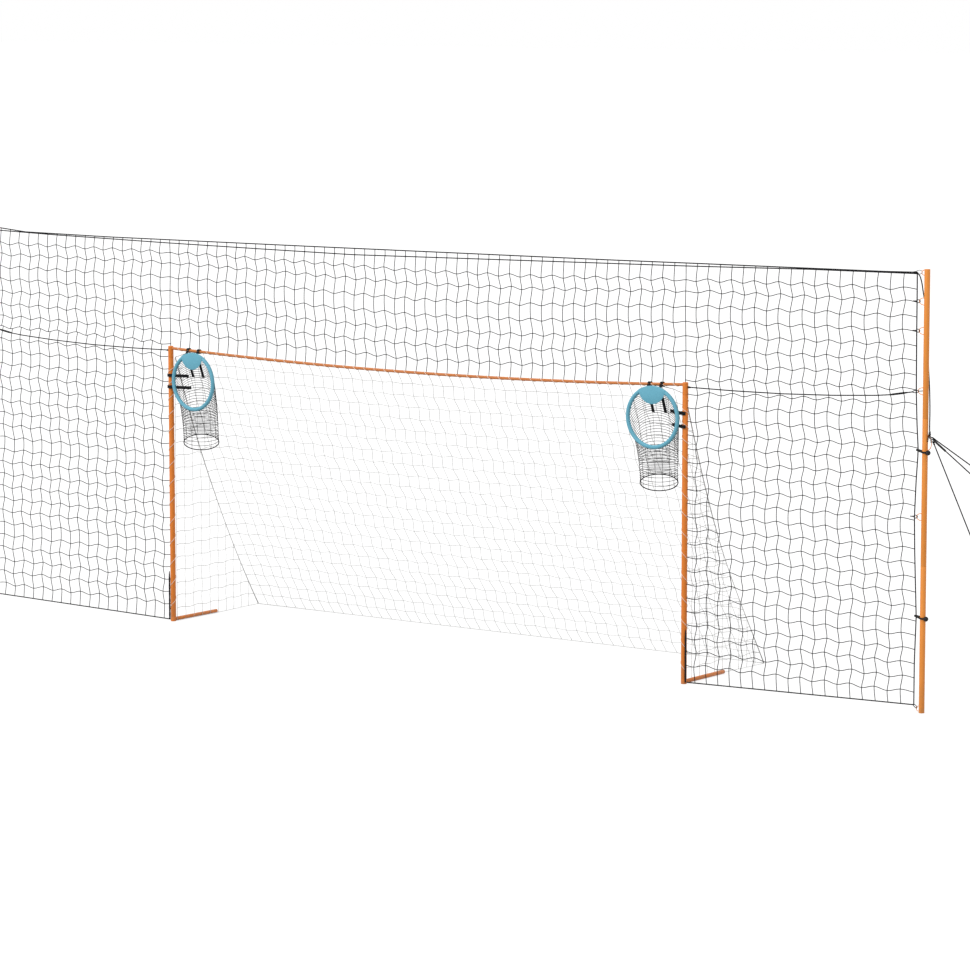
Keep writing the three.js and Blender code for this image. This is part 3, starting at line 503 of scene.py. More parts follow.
def open_cord(name, points):
    """A free cord: one open curve through the points."""
    curve = bpy.data.curves.new(name, "CURVE")
    curve.dimensions = "3D"
    curve.bevel_depth = GUY / 2
    curve.bevel_resolution = 3
    curve.use_fill_caps = True
    line = curve.splines.new("POLY")
    line.points.add(len(points) - 1)
    for spot, point in zip(line.points, points):
        spot.co = (*point, 1)
    curve.materials.append(guy_line)
    cord = linked(name, curve)
    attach(cord, "stand")
    return cord


def circle(centre, out, side, radius, count=20):
    """Points of a circle; out and side span its plane."""
    turns = [2 * math.pi * k / count for k in range(count)]
    return [centre + out * radius * math.cos(a) + side * radius * math.sin(a) for a in turns]


def wound(where, along, side):
    """Six turns of thread round a rope."""
    up = along.cross(side)
    path = []
    for k in range(61):
        a = k / 10 * 2 * math.pi
        ring = side * math.cos(a) + up * math.sin(a)
        path.append(where + along * (WHIPPING * k / 60) + ring * 0.0048)
    return path


for name, (angle, towards, length) in guys.items():
    out, along = out_of_guy_ring(angle), towards.normalized()
    seat = NEAR_EYE - NEAR_WIRE - RING_WIRE / 2 - 0.0011
    centre = on_ring(guy_ring, angle, 1) + out * seat
    start = centre + out * NEAR_EYE
    end = start + along * length
    steps = [k / (ROPE_POINTS - 1) for k in range(ROPE_POINTS)]
    rope = open_cord(name + "_line", [start.lerp(end, t) for t in steps])
    near_eye = circle(centre, out, Vector((0, 1, 0)), NEAR_EYE)
    near = strands(name + "_near_eye", [near_eye], NEAR_WIRE, 8, True)
    side = along.cross(Vector((0, 0, 1))).normalized()
    far_eye = circle(end + along * FAR_EYE, along, side, FAR_EYE)
    far = strands(name + "_far_eye", [far_eye], FAR_WIRE, 8, True)
    wraps = [wound(start + along * 0.004, along, side), wound(end - along * 0.030, along, side)]
    whipping = strands(name + "_whipping", wraps, THREAD, 5)
    keep(near, guy_line, "black_rope")
    keep(far, guy_line, "black_rope")
    keep(whipping, elastic_cord, "black_rope")
    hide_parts(name)
    guys[name] = (start, along)
    print(name, "runs", length, "m")

# %% [markdown]
# The tie-down cord leaves the head rope's knot, passes behind the pole, comes down its outer side
# and is tied to the guy ring. A knot is a cord that runs round itself. From a few steps away only
# its fat, lumpy outline counts, so it is a short cord wound a few times round an axis, which
# shows real turns up close.


# %% Tie-down cord and its knot
def knot_path(centre, axis, radius, cord, turns=3):
    """A few turns of cord round an axis."""
    axis = Vector(axis).normalized()
    side = axis.orthogonal().normalized()
    up = axis.cross(side)
    span = turns * cord * 1.6
    path = []
    for k in range(turns * 10 + 1):
        t = k / (turns * 10)
        a = t * turns * 2 * math.pi
        bulge = radius * (0.75 + 0.35 * math.sin(math.pi * t))
        ring = side * math.cos(a) + up * math.sin(a)
        path.append(Vector(centre) + axis * (t - 0.5) * span + ring * bulge)
    return path


# distances from the pole's middle, and the height above the ground
TIE_DOWN_ROUTE = [
    (-0.086, 0.011, 3.013), (-0.068, 0.018, 2.989), (-0.055, 0.024, 2.940),
    (-0.045, 0.029, 2.870), (-0.028, 0.033, 2.790), (-0.014, 0.031, 2.690),
    (-0.006, 0.030, 2.580), (-0.002, 0.028, 2.470), (0.005, 0.0265, 2.350),
    (0.018, 0.020, 2.220), (0.0275, 0.0115, 2.080), (0.030, 0.006, 1.970),
]
TAIL_ROUTE = [(0.033, -0.007, 1.921), (0.029, -0.009, 1.893), (0.025, -0.008, 1.868)]
TIE_ANGLE = 68
tie_end = on_ring(guy_ring, TIE_ANGLE, 1) + out_of_guy_ring(TIE_ANGLE) * 0.0092
route = [at(pole_x + x, y, z) for x, y, z in TIE_DOWN_ROUTE]
tie_points = smooth_path(route + [tie_end], 4)
tie_down = open_cord("tie_down_line", tie_points)
tail = smooth_path([tie_end] + [at(pole_x + x, y, z) for x, y, z in TAIL_ROUTE], 5)
tie_knot = joined("tie_down_knot", [
    strands("turns", [knot_path(tie_end, (0, 0, 1), 0.0062, GUY)], 0.0036, 8),
    strands("tail", [tail], 0.0032, 8),
])
keep(tie_knot, guy_line, "black_rope")
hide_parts("tie_down_cord")

# %% [markdown]
# The poles. Each is three steel tubes that plug into each other. A ring's wire ends inside a
# little bead of weld on the tube. A bar between two points is the piece that is needed most, so
# it gets a function: a cylinder whose rims are rounded by a bevel.

# %% Poles: tubes, wire rings and welds
JOINTS = (0.0, 3.04 / 3, 3.04 * 2 / 3, 3.04)
SEAM = 0.00015


def round_bar(name, radius, start, end, corners=48, edge=0.0008):
    """A closed round bar between two points, with its rims rounded."""
    start, end = Vector(start), Vector(end)
    bar = added(bpy.ops.mesh.primitive_cylinder_add, vertices=corners, radius=radius,
                depth=(end - start).length, location=(start + end) / 2,
                rotation=(end - start).to_track_quat("Z", "Y").to_euler())
    bar.name = bar.data.name = name
    if edge:
        bevelled(bar, edge)
    return smooth(bar)


def ring_on_pole(ring, side):
    """The half-ellipse of wire and its two beads of weld."""
    wire = [on_ring(ring, -90 + 9 * k, side) for k in range(21)]
    pieces = [strands("ring", [wire], RING_WIRE / 2, 10)]
    for up in (-1, 1):
        bead = at(pole_x + side * POLE, 0, ring[0] + up * ring_half(ring)[1])
        weld = added(bpy.ops.mesh.primitive_uv_sphere_add, segments=14, ring_count=8, radius=1,
                     location=bead, scale=(0.0028, 0.0046, 0.0042))
        pieces.append(smooth(weld, 80))
    return pieces


def pole_section(number):
    low_end = JOINTS[number] + SEAM if number else 0.0
    high_end = JOINTS[number + 1] - SEAM
    pieces = [round_bar("tube", POLE, at(pole_x, 0, low_end), at(pole_x, 0, high_end))]
    for ring in [*net_rings.values(), guy_ring]:
        if low_end < ring[0] < high_end:
            pieces += ring_on_pole(ring, 1 if ring == guy_ring else -1)
    return pieces


for number, part in enumerate(("lower", "middle", "upper")):
    section = joined(f"{part}_pole_right", pole_section(number))
    both_sides(section, pole_paint, "pole_orange", f"pole_{part}_right")
print("poles:", [n for n in made if "pole" in n])

# %% [markdown]
# Spring buttons lock the sections: a rounded steel pin that pops out through a hole.

# %% Spring buttons
PIN, PIN_LONG = 0.0044, 0.0085
steel = Finish("button_steel", (0.56, 0.57, 0.58, 1.0), 0.3, 1.0)
steel.patchy_roughness(220.0, 0.22, 0.22)
steel.bump(steel.noise(1500.0, 1.0), 0.1, 0.0001)
for level in ("lower", "upper"):
    for side in ("right", "left"):
        low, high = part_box(f"pole_button_{level}_{side}")
        x, z = (low.x + high.x) / 2, (low.z + high.z) / 2
        pin = round_bar(f"button_{level}_{side}", PIN, (x, high.y - PIN_LONG, z), (x, high.y, z),
                        24, 0.0016)
        keep(pin, steel.material, "button_steel", f"pole_button_{level}_{side}",
             body=f"button_{level}_{side}")
print("buttons:", [n for n in made if n.startswith("button")])

# %% [markdown]
# The goal frame is painted steel tube too. A solid-topped corner piece plugs into each
# post and takes the crossbar's end; a foot with a runner holds each post upright. The corner's
# top is drawn up and in by an extrusion in edit mode, which gives it a shallow cap.

# %% Posts, corners and feet
POST = 0.021  # the tube's radius
POST_LOW, POST_HIGH, CORNER_HIGH, HEEL_HIGH = 0.0343, 2.0697, 2.154, 0.034
RUNNER, RUNNER_END = 0.015, 0.520
CAP_HIGH, CAP_SHARE = 0.004, 0.81

post = round_bar("goal_post_tube_right", POST, at(post_x, 0, POST_LOW), at(post_x, 0, POST_HIGH))
both_sides(post, goal_paint, "goal_orange", "goal_post_right")

corner = round_bar("goal_corner_right", POST, at(post_x, 0, 2.070), at(post_x, 0, CORNER_HIGH),
                   edge=0)
only(corner)
bpy.ops.object.mode_set(mode="EDIT")
bpy.ops.mesh.select_mode(type="FACE")
bpy.ops.mesh.select_all(action="DESELECT")
bpy.ops.object.mode_set(mode="OBJECT")
for face in corner.data.polygons:
    face.select = face.normal.z > 0.9
bpy.ops.object.mode_set(mode="EDIT")
bpy.ops.mesh.extrude_region_move(TRANSFORM_OT_translate={"value": (0, 0, CAP_HIGH)})
bpy.ops.transform.resize(value=(CAP_SHARE, CAP_SHARE, 1),
                         center_override=tuple(at(post_x, 0, CORNER_HIGH + CAP_HIGH)))
bpy.ops.object.mode_set(mode="OBJECT")
bevelled(corner, 0.0015, 3, 25)
smooth(corner, 30)
both_sides(corner, goal_paint, "goal_orange", "goal_elbow_right")

heel = round_bar("heel", POST, at(post_x, 0, 0), at(post_x, 0, HEEL_HIGH))
runner = round_bar("runner", RUNNER, at(post_x, 0.012, RUNNER), at(post_x, RUNNER_END, RUNNER),
                   edge=0.003)
weld = added(bpy.ops.mesh.primitive_torus_add, major_radius=0.0152, minor_radius=0.0022,
             major_segments=32, minor_segments=8, location=at(post_x, 0.0185, 0.0172),
             rotation=(math.radians(90), 0, 0))
foot = joined("goal_runner_right", [heel, runner, smooth(weld, 80)])
both_sides(foot, goal_paint, "goal_orange", "goal_foot_right")
print("goal frame:", [n for n in made if n.startswith("goal")])

# %% [markdown]
# The crossbar is two halves that meet in the middle. It sags a little between the posts under its
# own weight and the nets', so each half is a strand along a parabola, drawn straight on beyond
# the post's middle into the corner piece.

# %% Crossbar in two halves
BAR = 0.011  # the tube's radius
bar_height, bar_sag = 2.141, 0.054
HALF_GAP = 0.00015
bar_end = post_x - POST + 0.0287


def bar_z(x):
    return bar_height - bar_sag * (1 - (x / post_x) ** 2)


for side, word in ((1, "right"), (-1, "left")):
    path = []
    for k in range(41):
        x = HALF_GAP + (bar_end - HALF_GAP) * k / 40
        z = bar_z(min(x, post_x)) + 2 * bar_sag / post_x * max(0, x - post_x)
        path.append(at(side * x, 0, z))
    half = strands(f"goal_bar_{word}", [path], BAR, 28)
    smooth(half, 40)
    keep(half, bar_paint, "bar_orange", f"crossbar_{word}")
print("crossbar sags", bar_sag * 1000, "mm")

# %% [markdown]
# The black net is 100 mm square mesh. Knotted netting never hangs in a perfect grid: the knots
# pull their strands a little up and down in turn, so each row waves from mesh to mesh. The knots
# are placed first, then a strand is drawn through each row and column of them.

# %% The knots' places in the black net
EDGE_ROPE = [(0.05, 0.062), (0.35, 0.062), (0.66, 0.052), (1.10, 0.070), (1.35, 0.076),
             (1.60, 0.066), (1.80, 0.053), (2.00, 0.066), (2.21, 0.074), (2.62, 0.077),
             (2.82, 0.077), (3.00, 0.078)]
ACROSS = [-3.80, -2.45, -1.00, 0.00, 1.00, 2.45, 3.80]
TOP_ROWS = [
    [2.886, 2.884, 2.863, 2.844, 2.848, 2.884, 2.900],
    [2.798, 2.804, 2.771, 2.749, 2.758, 2.805, 2.813],
    [2.697, 2.696, 2.656, 2.632, 2.643, 2.698, 2.713],
    [2.598, 2.590, 2.542, 2.517, 2.531, 2.592, 2.614],
    [2.499, 2.482, 2.430, 2.406, 2.422, 2.490, 2.515],
    [2.398, 2.376, 2.322, 2.297, 2.314, 2.384, 2.414],
    [2.300, 2.274, 2.214, 2.190, 2.207, 2.281, 2.316],
]
HEAD_LINE = [(-4.25, 3.015), (-3.90, 2.986), (-3.00, 2.979), (-1.00, 2.984), (0.00, 2.988),
             (1.75, 2.995), (2.50, 3.001), (4.00, 3.010), (4.25, 3.015)]
BORDER_LINE = [(-4.25, 2.990), (-3.60, 2.974), (-2.45, 2.956), (-1.50, 2.946), (-0.60, 2.938),
               (0.50, 2.953), (1.50, 2.967), (2.45, 2.980), (3.40, 2.999), (4.27, 3.006)]
MIDDLE_LINE = [(2.404, 2.124), (2.80, 2.121), (3.20, 2.125), (3.60, 2.139), (3.95, 2.160),
               (4.06, 2.171), (4.20, 2.195), (4.29, 2.210)]
ROW_LEAN = [-1, 1, -1, -1, 1, -1, 1]
ROWS, SPLIT_ROW = 29, 8  # the net parts into two side nets at the split row
GOAL_CELLS, BESIDE_CELLS = 50, 19
MESH = 0.1
SIDEWAYS, WAVE, DEPTH = 0.0085, 0.0105, 0.004  # how far a knot is pulled out of its place
right_edge = GOAL_CELLS + BESIDE_CELLS
head_z = 3.015


def on_line(line, x):
    """The second number of a measured line, where the first is x."""
    return float(np.interp(x, [a for a, b in line], [b for a, b in line]))


def edge_x(z):
    """Where the net's edge cord runs beside the pole: it is drawn in at each fastening."""
    return pole_x - on_line(EDGE_ROPE, z)


def row_z(k, x):
    """Height of row k of knots, counted from the top: it sags between its fastenings."""
    if k <= len(TOP_ROWS):
        return float(np.interp(x, ACROSS, TOP_ROWS[k - 1]))
    at_post, at_pole = 1.981 - 0.0969 * (k - 10), 2.018 - 0.0990 * (k - 10)
    s = (abs(x) - post_x) / (edge_x(at_pole) - post_x)
    return at_post + (at_pole - at_post) * (1 - (1 - s) ** 2)


def column_x(i, z):
    """Column i, counted from the left post; columns outside the posts spread a little."""
    if 0 <= i <= GOAL_CELLS:
        return -post_x + 2 * post_x * i / GOAL_CELLS
    n = -i if i < 0 else i - GOAL_CELLS
    s = n / BESIDE_CELLS
    spread = s * (0.97 + 0.03 * s)
    x = post_x + (edge_x(z) - post_x) * spread
    return -x if i < 0 else x


def net_knot(i, k):
    """The knot where column i and row k cross."""
    x = column_x(i, head_z - MESH * k)
    lean, wave = SIDEWAYS * ROW_LEAN[(k - 1) % 7], WAVE * (1 if i % 2 == 0 else -1)
    if i in (-BESIDE_CELLS, 0, GOAL_CELLS, right_edge):
        lean = wave = 0
    return at(x + lean, DEPTH * math.sin(1.3 * i + 0.9 * k), row_z(k, x) + wave)


def bottom_z(x):
    """The net's lower edge, which rises a little towards the pole."""
    return 0.012 + 0.040 * (abs(x) - post_x) / (pole_x - post_x)


def mid_rope_z(x):
    return on_line(MIDDLE_LINE, abs(x))


def knot_balls(name, places, radius):
    """A small lump at every place, all in one mesh."""
    ball = added(bpy.ops.mesh.primitive_ico_sphere_add, subdivisions=1, radius=radius)
    shape = np.array([tuple(v.co) for v in ball.data.vertices])
    sides = np.array([tuple(p.vertices) for p in ball.data.polygons])
    bpy.data.objects.remove(ball)
    places = np.array([tuple(p) for p in places])
    verts = (places[:, None, :] + shape[None, :, :]).reshape(-1, 3)
    shift = (np.arange(len(places)) * len(shape))[:, None, None]
    faces = (sides[None, :, :] + shift).reshape(-1, 3)
    mesh = bpy.data.meshes.new(name)
    mesh.from_pydata([tuple(v) for v in verts], [], faces.tolist())
    mesh.uv_layers.new(name="lay")
    mesh.polygons.foreach_set("use_smooth", np.ones(len(mesh.polygons), bool))
    return linked(name, mesh)


print("rows", ROWS, "columns", right_edge + BESIDE_CELLS + 1)

# %% Black net above the crossbar and the middle ropes
TWINE, KNOT = 0.0030, 0.0042
CORNER_TOP = 2.160
paths, lumps = [], []
for k in range(1, SPLIT_ROW):
    row = [net_knot(i, k) for i in range(-BESIDE_CELLS, right_edge + 1)]
    lumps += row[1:-1]
    paths.append(smooth_path(row, 4))
for i in range(-BESIDE_CELLS + 1, right_edge):
    x = column_x(i, 3.0)
    top = [at(x, 0, on_line(HEAD_LINE, x)), at(x, 0, on_line(BORDER_LINE, x))]
    inside = 0 <= i <= GOAL_CELLS
    column = [net_knot(i, k) for k in range(1, SPLIT_ROW if inside else SPLIT_ROW + 1)]
    if inside:
        end = CORNER_TOP if i in (0, GOAL_CELLS) else bar_z(x) + BAR + 0.001
        column.append(at(x, 0, end))
    paths.append(smooth_path(top + column, 4))
for i0, i1 in ((-BESIDE_CELLS, 0), (GOAL_CELLS, right_edge)):
    row = [net_knot(i, SPLIT_ROW) for i in range(i0, i1 + 1)]
    lumps += row[1:-1]
    paths.append(smooth_path(row, 4))
grid = strands("grid", paths, TWINE, 5)
places = [at(x, 0, on_line(BORDER_LINE, x)) for x in np.linspace(-4.262, 4.262, 121)]
border = strands("border", [places], 0.0042, 8)
z_values = np.linspace(3.003, mid_rope_z(4.25), 16)
edges = [[at(side * edge_x(z), 0, z) for z in z_values] for side in (-1, 1)]
edge_cords = strands("edges", edges, 0.0046, 8)
knots = knot_balls("knots", lumps, KNOT)
upper_net = joined("black_net_upper", [grid, knots, border, edge_cords])
keep(upper_net, black_twine, "black_twine", "stop_net_upper")
print("upper net:", len(upper_net.data.polygons), "faces")

# %% Black nets beside the goal
EDGE_LOW = 0.052
GATHERED = 24  # points of the cord gathered down the post
paths, lumps = [], []
for k in range(SPLIT_ROW + 1, ROWS + 1):
    row = [net_knot(i, k) for i in range(GOAL_CELLS, right_edge + 1)]
    if k == ROWS:
        row = [p for p in row if p.z > bottom_z(p.x) + 0.02]
    lumps += row[1:-1]
    paths.append(smooth_path(row, 4))
for i in range(GOAL_CELLS + 1, right_edge):
    column = [net_knot(i, k) for k in range(SPLIT_ROW, ROWS + 1)]
    x = column_x(i, 0.05)
    column = [p for p in column if p.z > bottom_z(x) + 0.02] + [at(x, 0, bottom_z(x))]
    paths.append(smooth_path(column, 4))
grid = strands("grid", paths, TWINE, 5)
pole_edge = [at(edge_x(z), 0, z) for z in np.linspace(mid_rope_z(4.25), EDGE_LOW, 40)]
ground = np.linspace(post_x + 0.0275, edge_x(EDGE_LOW), 30)
border = strands("border", [pole_edge, [at(x, 0, bottom_z(x)) for x in ground]], 0.0044, 8)
a = math.radians(57)
gathered = [at(post_x + 0.0290 * math.sin(a), -0.0290 * math.cos(a), z)
            for z in np.linspace(0.395, 0.014, GATHERED)]
thick = [0.0065 * min(1, 0.35 + k / 4) * (1 + 0.08 * math.sin(1.9 * k)) for k in range(GATHERED)]
bunch = strands("bunch", [gathered], [thick], 10)
knots = knot_balls("knots", lumps, KNOT)
side_net = joined("black_net_side_right", [grid, knots, border, bunch])
both_sides(side_net, black_twine, "black_twine", "stop_net_side_right")
print("side net:", len(side_net.data.polygons), "faces")

# %% [markdown]
# The head rope carries the black net. Each end is tied in a knot close to the pole, and a loop
# goes on to the ring. Lower down a middle rope runs from the goal's corner to the pole, with a
# long splice, where the rope's end is tucked back into itself and makes it fatter.

# %% Head rope and middle ropes
def loop_path(start, end, wide, normal=(0, 1, 0), count=28):
    """A long flat loop from start to end, as a closed path."""
    start, end = Vector(start), Vector(end)
    along = (end - start).normalized()
    side = along.cross(Vector(normal)).normalized()
    middle, half = (start + end) / 2, (end - start).length / 2
    path = []
    for k in range(count):
        a = 2 * math.pi * k / count
        c, s = math.cos(a), math.sin(a)
        c = math.copysign(abs(c) ** 0.8, c)
        path.append(middle + along * (c * half) + side * (s * wide / 2))
    return path


KNOT_CORD = 0.006
knot_x = pole_x - 0.090
ring_x = pole_x - POLE - net_rings["head"][1] + 0.0052
line = [at(x, 0, on_line(HEAD_LINE, x)) for x in np.linspace(-knot_x, knot_x, 121)]
head = [strands("line", [line], 0.0044, 8)]
for side in (-1, 1):
    turns = knot_path(at(side * knot_x, 0, head_z), (1, 0, 0), 0.0055, KNOT_CORD)
    head.append(strands("knot", [turns], KNOT_CORD / 2, 8))
    loop = loop_path(at(side * (knot_x + 0.003), 0, head_z),
                     at(side * ring_x, 0, head_z + 0.004), 0.026)
    head.append(strands("loop", [loop], 0.0019, 8, True))
head_rope = joined("head_line", head)
keep(head_rope, black_rope, "black_rope", "head_rope")

ring_inner = pole_x - POLE - net_rings["top"][1] + RING_WIRE  # of the four larger net rings
rope_from, tied_x, eye_x = 2.404, 2.418, pole_x - 0.103
line = [at(x, 0, mid_rope_z(x)) for x in np.linspace(rope_from, pole_x - 0.098, 40)]
splice = [at(x, 0, mid_rope_z(x)) for x in np.linspace(4.055, 4.200, 14)]
taper = [0.0046 + 0.0028 * min(1, k / 3, (13 - k) / 3) for k in range(14)]
eye_end = at(ring_inner + 0.003, 0, 2.209)
eye = loop_path(at(eye_x, 0, mid_rope_z(eye_x)), eye_end, 0.015)
turns = knot_path(at(tied_x, 0, mid_rope_z(tied_x)), (1, 0, 0), 0.0048, KNOT_CORD)
middle_line = joined("middle_line_right", [
    strands("line", [line], 0.0042, 8),
    strands("splice", [splice], [taper], 10),
    strands("eye", [eye], 0.0031, 8, True),
    strands("end", [[eye_end, at(pole_x - POLE - 0.004, 0.004, 2.212)]], 0.0028, 8),
    strands("knot", [turns], KNOT_CORD / 2, 8),
])
both_sides(middle_line, black_rope, "black_rope", "middle_rope_right")
print("ropes:", head_rope.name, middle_line.name)

# %% [markdown]
# Fasteners between the net's edge and the pole: dark snap hooks on the upper rings, elastic cord
# with a ball lower down, and a short loop of cord at the very bottom.

# %% Snap hooks
clip_plastic = Finish("clip_dark", linear(30, 23, 23), 0.45)
clip_plastic.patchy_roughness(160.0, 0.38, 0.2)
clip_plastic.bump(clip_plastic.noise(900.0, 2.0), 0.15, 0.0002)


def snap_hook(z):
    """The hook's bent wire, the tail that holds the net, the collar between them, and the gate."""
    near, far = pole_x - 0.080, ring_inner + 0.0045
    ring = loop_path(at(near, 0, z), at(far, 0, z), 0.020, count=36)
    return [
        strands("hook", [ring], 0.0031, 8, True),
        round_bar("tail", 0.0038, at(pole_x - 0.109, 0, z), at(near + 0.004, 0, z), 14, 0.0012),
        round_bar("collar", 0.0050, at(near - 0.012, 0, z), at(near + 0.002, 0, z), 16, 0.001),
        round_bar("gate", 0.0016, at(near + 0.006, 0, z - 0.0088), at(far - 0.010, 0, z - 0.0078),
                  10, 0.0005),
    ]


for word in ("top", "second", "low"):
    hook = joined(f"snap_hook_{word}_right", snap_hook(net_rings[word][0]))
    both_sides(hook, clip_plastic.material, "clip_dark", f"net_clip_{word}_right")
print("hooks:", [n for n in made if n.startswith("snap")])

# %% Elastic ball ties and bottom loops
ball_rubber = Finish("ball_rubber", linear(11, 11, 13), 0.6, 0.0, 0.4)
ball_rubber.patchy_roughness(90.0, 0.55, 0.2)
ball_rubber.bump(ball_rubber.noise(500.0, 2.0), 0.1, 0.0002)
BAND, TURN_ON_POLE, TURN_ON_NET = 0.0033, 0.0238, 0.006
for word, z in (("upper", 1.792), ("lower", 0.652)):
    path = []
    for k in range(49):
        a = math.radians(-95 + 190 * k / 48)
        path.append(at(pole_x + TURN_ON_POLE * math.cos(a), TURN_ON_POLE * math.sin(a), z))
    for k in range(11):
        a = math.radians(95 + 17 * k)
        path.append(at(edge_x(z) - 0.007 + TURN_ON_NET * math.cos(a), TURN_ON_NET * math.sin(a),
                       z + 0.012))
    above = [point + Vector((0, 0, 2 * BAND)) for point in path]
    band = strands("band", [path, above], BAND, 10, True)
    ball = added(bpy.ops.mesh.primitive_uv_sphere_add, segments=32, ring_count=20, radius=0.0172,
                 location=at(pole_x + 0.0345, -0.0180, z + 0.003))
    tie = joined(f"elastic_tie_{word}_right", [band, smooth(ball, 80)])
    both_sides(tie, ball_rubber.material, "black_rubber", f"ball_tie_{word}_right")
foot_ring = on_ring(net_rings["foot"], 22, -1)
net_corner = at(edge_x(EDGE_LOW), 0, EDGE_LOW - 0.002)
along = (foot_ring - net_corner).normalized()
loop = loop_path(net_corner - along * 0.005, foot_ring + along * 0.005, 0.014)
bottom = strands("corner_loop_right", [loop], 0.0029, 8, True)
both_sides(bottom, black_rope, "black_rope", "bottom_tie_right")
print("ties:", [n for n in made if n.startswith("elastic")])

# %% [markdown]
# The rope adjuster is a sleeve on the outer guy rope: gripping it and sliding it along shortens
# the rope. Here it is a thick dark tube with a collar near each end.

# %% Rope adjuster
ADJUSTER_LONG, ADJUSTER_FROM, COLLAR = 0.110, 0.014, 0.006
start, along = guys["guy_rope_side"]
first = start + along * ADJUSTER_FROM
pieces = [round_bar("sleeve", 0.0072, first, first + along * ADJUSTER_LONG, 24, 0.0014)]
for place in (0.004, ADJUSTER_LONG - 0.010):
    collar_from, collar_to = first + along * place, first + along * (place + COLLAR)
    pieces.append(round_bar("collar", 0.0078, collar_from, collar_to, 24))
adjuster = joined("adjuster_sleeve", pieces)
keep(adjuster, ball_rubber.material, "black_rope", "guy_adjuster", body="adjuster")
print("adjuster starts", round(ADJUSTER_FROM * 1000), "mm along the rope")

# %% [markdown]
# White lacing cord winds round each post and the crossbar and binds both nets to the frame.

# %% Lacing
LACING = 0.0016
ROUND_POST, ROUND_BAR = POST + 0.0019, BAR + 0.0019
# how high the cord is each time it comes round the front of the post
FRONT_MARKS = [-0.05, 0.112, 0.276, 0.440, 0.604, 0.764, 0.924, 1.072, 1.216, 1.352, 1.488, 1.616,
               1.744, 1.856, 1.956, 2.050]
BAR_TURNS, BAR_STEPS = 49, 49 * 16
path = []
for turn in np.linspace(0.88, 14.85, 14 * 24):
    a = math.radians(-56.5) - turn * 2 * math.pi
    z = float(np.interp(turn, range(len(FRONT_MARKS)), FRONT_MARKS))
    path.append(at(post_x + ROUND_POST * math.cos(a), ROUND_POST * math.sin(a), z))
lacing = strands("post_lacing_right", [path], LACING, 7)
both_sides(lacing, lacing_cord, "lacing_cord", "lacing_post_right")
path = []
for k in range(BAR_STEPS + 1):
    t = k / BAR_STEPS
    a = t * BAR_TURNS * 2 * math.pi
    x = (post_x - 0.040) * (2 * t - 1)
    path.append(at(x, ROUND_BAR * math.cos(a), bar_z(x) + ROUND_BAR * math.sin(a)))
lacing = strands("bar_lacing", [path], LACING, 6)
keep(lacing, lacing_cord, "lacing_cord", "lacing_crossbar")
print("post lacing has", len(FRONT_MARKS) - 2, "turns")

# %% [markdown]
# The white goal net slopes from the crossbar to the ground behind, with a triangle of netting at
# each side. It is the same netting as the black one, in white twine.

# %% White goal net
BACK, BAR_BACK = 1.05, 0.028  # how far back the net ends and starts
ROWS_BACK = 23
GOAL_TWINE, GOAL_BORDER = 0.0021, 0.0030
EDGE_SAG = 0.080


def flare(y):
    """The net passes inside the foot tube and spreads behind it."""
    t = min(1.0, max(0.0, (y - 0.45) / 0.6))
    return 0.028 * t * t * (3 - 2 * t)


def hang(s, z_top, sag):
    """Depth and height on the back net: a straight slope, sagging down and forwards."""
    droop = sag * math.sin(math.pi * s)
    y = BAR_BACK + (BACK - BAR_BACK) * s - 0.898 * droop
    return y, z_top * (1 - s) + 0.005 * s - 0.440 * droop


def back_knot(i, k):
    """The knot where column i and row k of the back net cross."""
    s, across = k / ROWS_BACK, 2 * i / GOAL_CELLS - 1
    reach = post_x - 0.0225 + flare(BAR_BACK + (BACK - BAR_BACK) * s)
    inside = math.sqrt(max(0.0, 1 - across ** 2))
    top = bar_z(abs(across) * post_x) - 0.071 * abs(across) ** 16
    y, z = hang(s, top, EDGE_SAG - 0.03 * inside)
    wave = 0.012 * (1 if (i + k) % 2 else -1) * math.sin(math.pi * s) ** 0.3 * min(1, 4 * inside)
    lean = 0.010 * (1 if k % 2 else -1) * inside
    return at(across * reach + lean, y, max(0.006, z + wave * 0.5))


paths, lumps = [], []
for k in range(1, ROWS_BACK):
    row = [back_knot(i, k) for i in range(GOAL_CELLS + 1)]
    lumps += row
    paths.append(smooth_path(row, 3))
for i in range(1, GOAL_CELLS):
    paths.append(smooth_path([back_knot(i, k) for k in range(ROWS_BACK + 1)], 3))
grid = strands("grid", paths, GOAL_TWINE, 4)
edges = [[back_knot(i, k) for k in range(ROWS_BACK + 1)] for i in (0, GOAL_CELLS)]
edges += [[back_knot(i, k) for i in range(GOAL_CELLS + 1)] for k in (0, ROWS_BACK)]
border = strands("border", edges, GOAL_BORDER, 7)
back_net = joined("white_net_back", [grid, knot_balls("knots", lumps, 0.0030), border])
keep(back_net, white_twine, "white_twine", "goal_net_back")
print("back net:", len(back_net.data.polygons), "faces")

# %% White side nets
SLOPE = [hang(k / 24, 2.07, EDGE_SAG) for k in range(25)]  # the back net's edge
NET_LOW = 0.005
side_x, front_y = post_x - 0.0173, 0.026


def on_side(y, z):
    return at(side_x + flare(y), y, z)


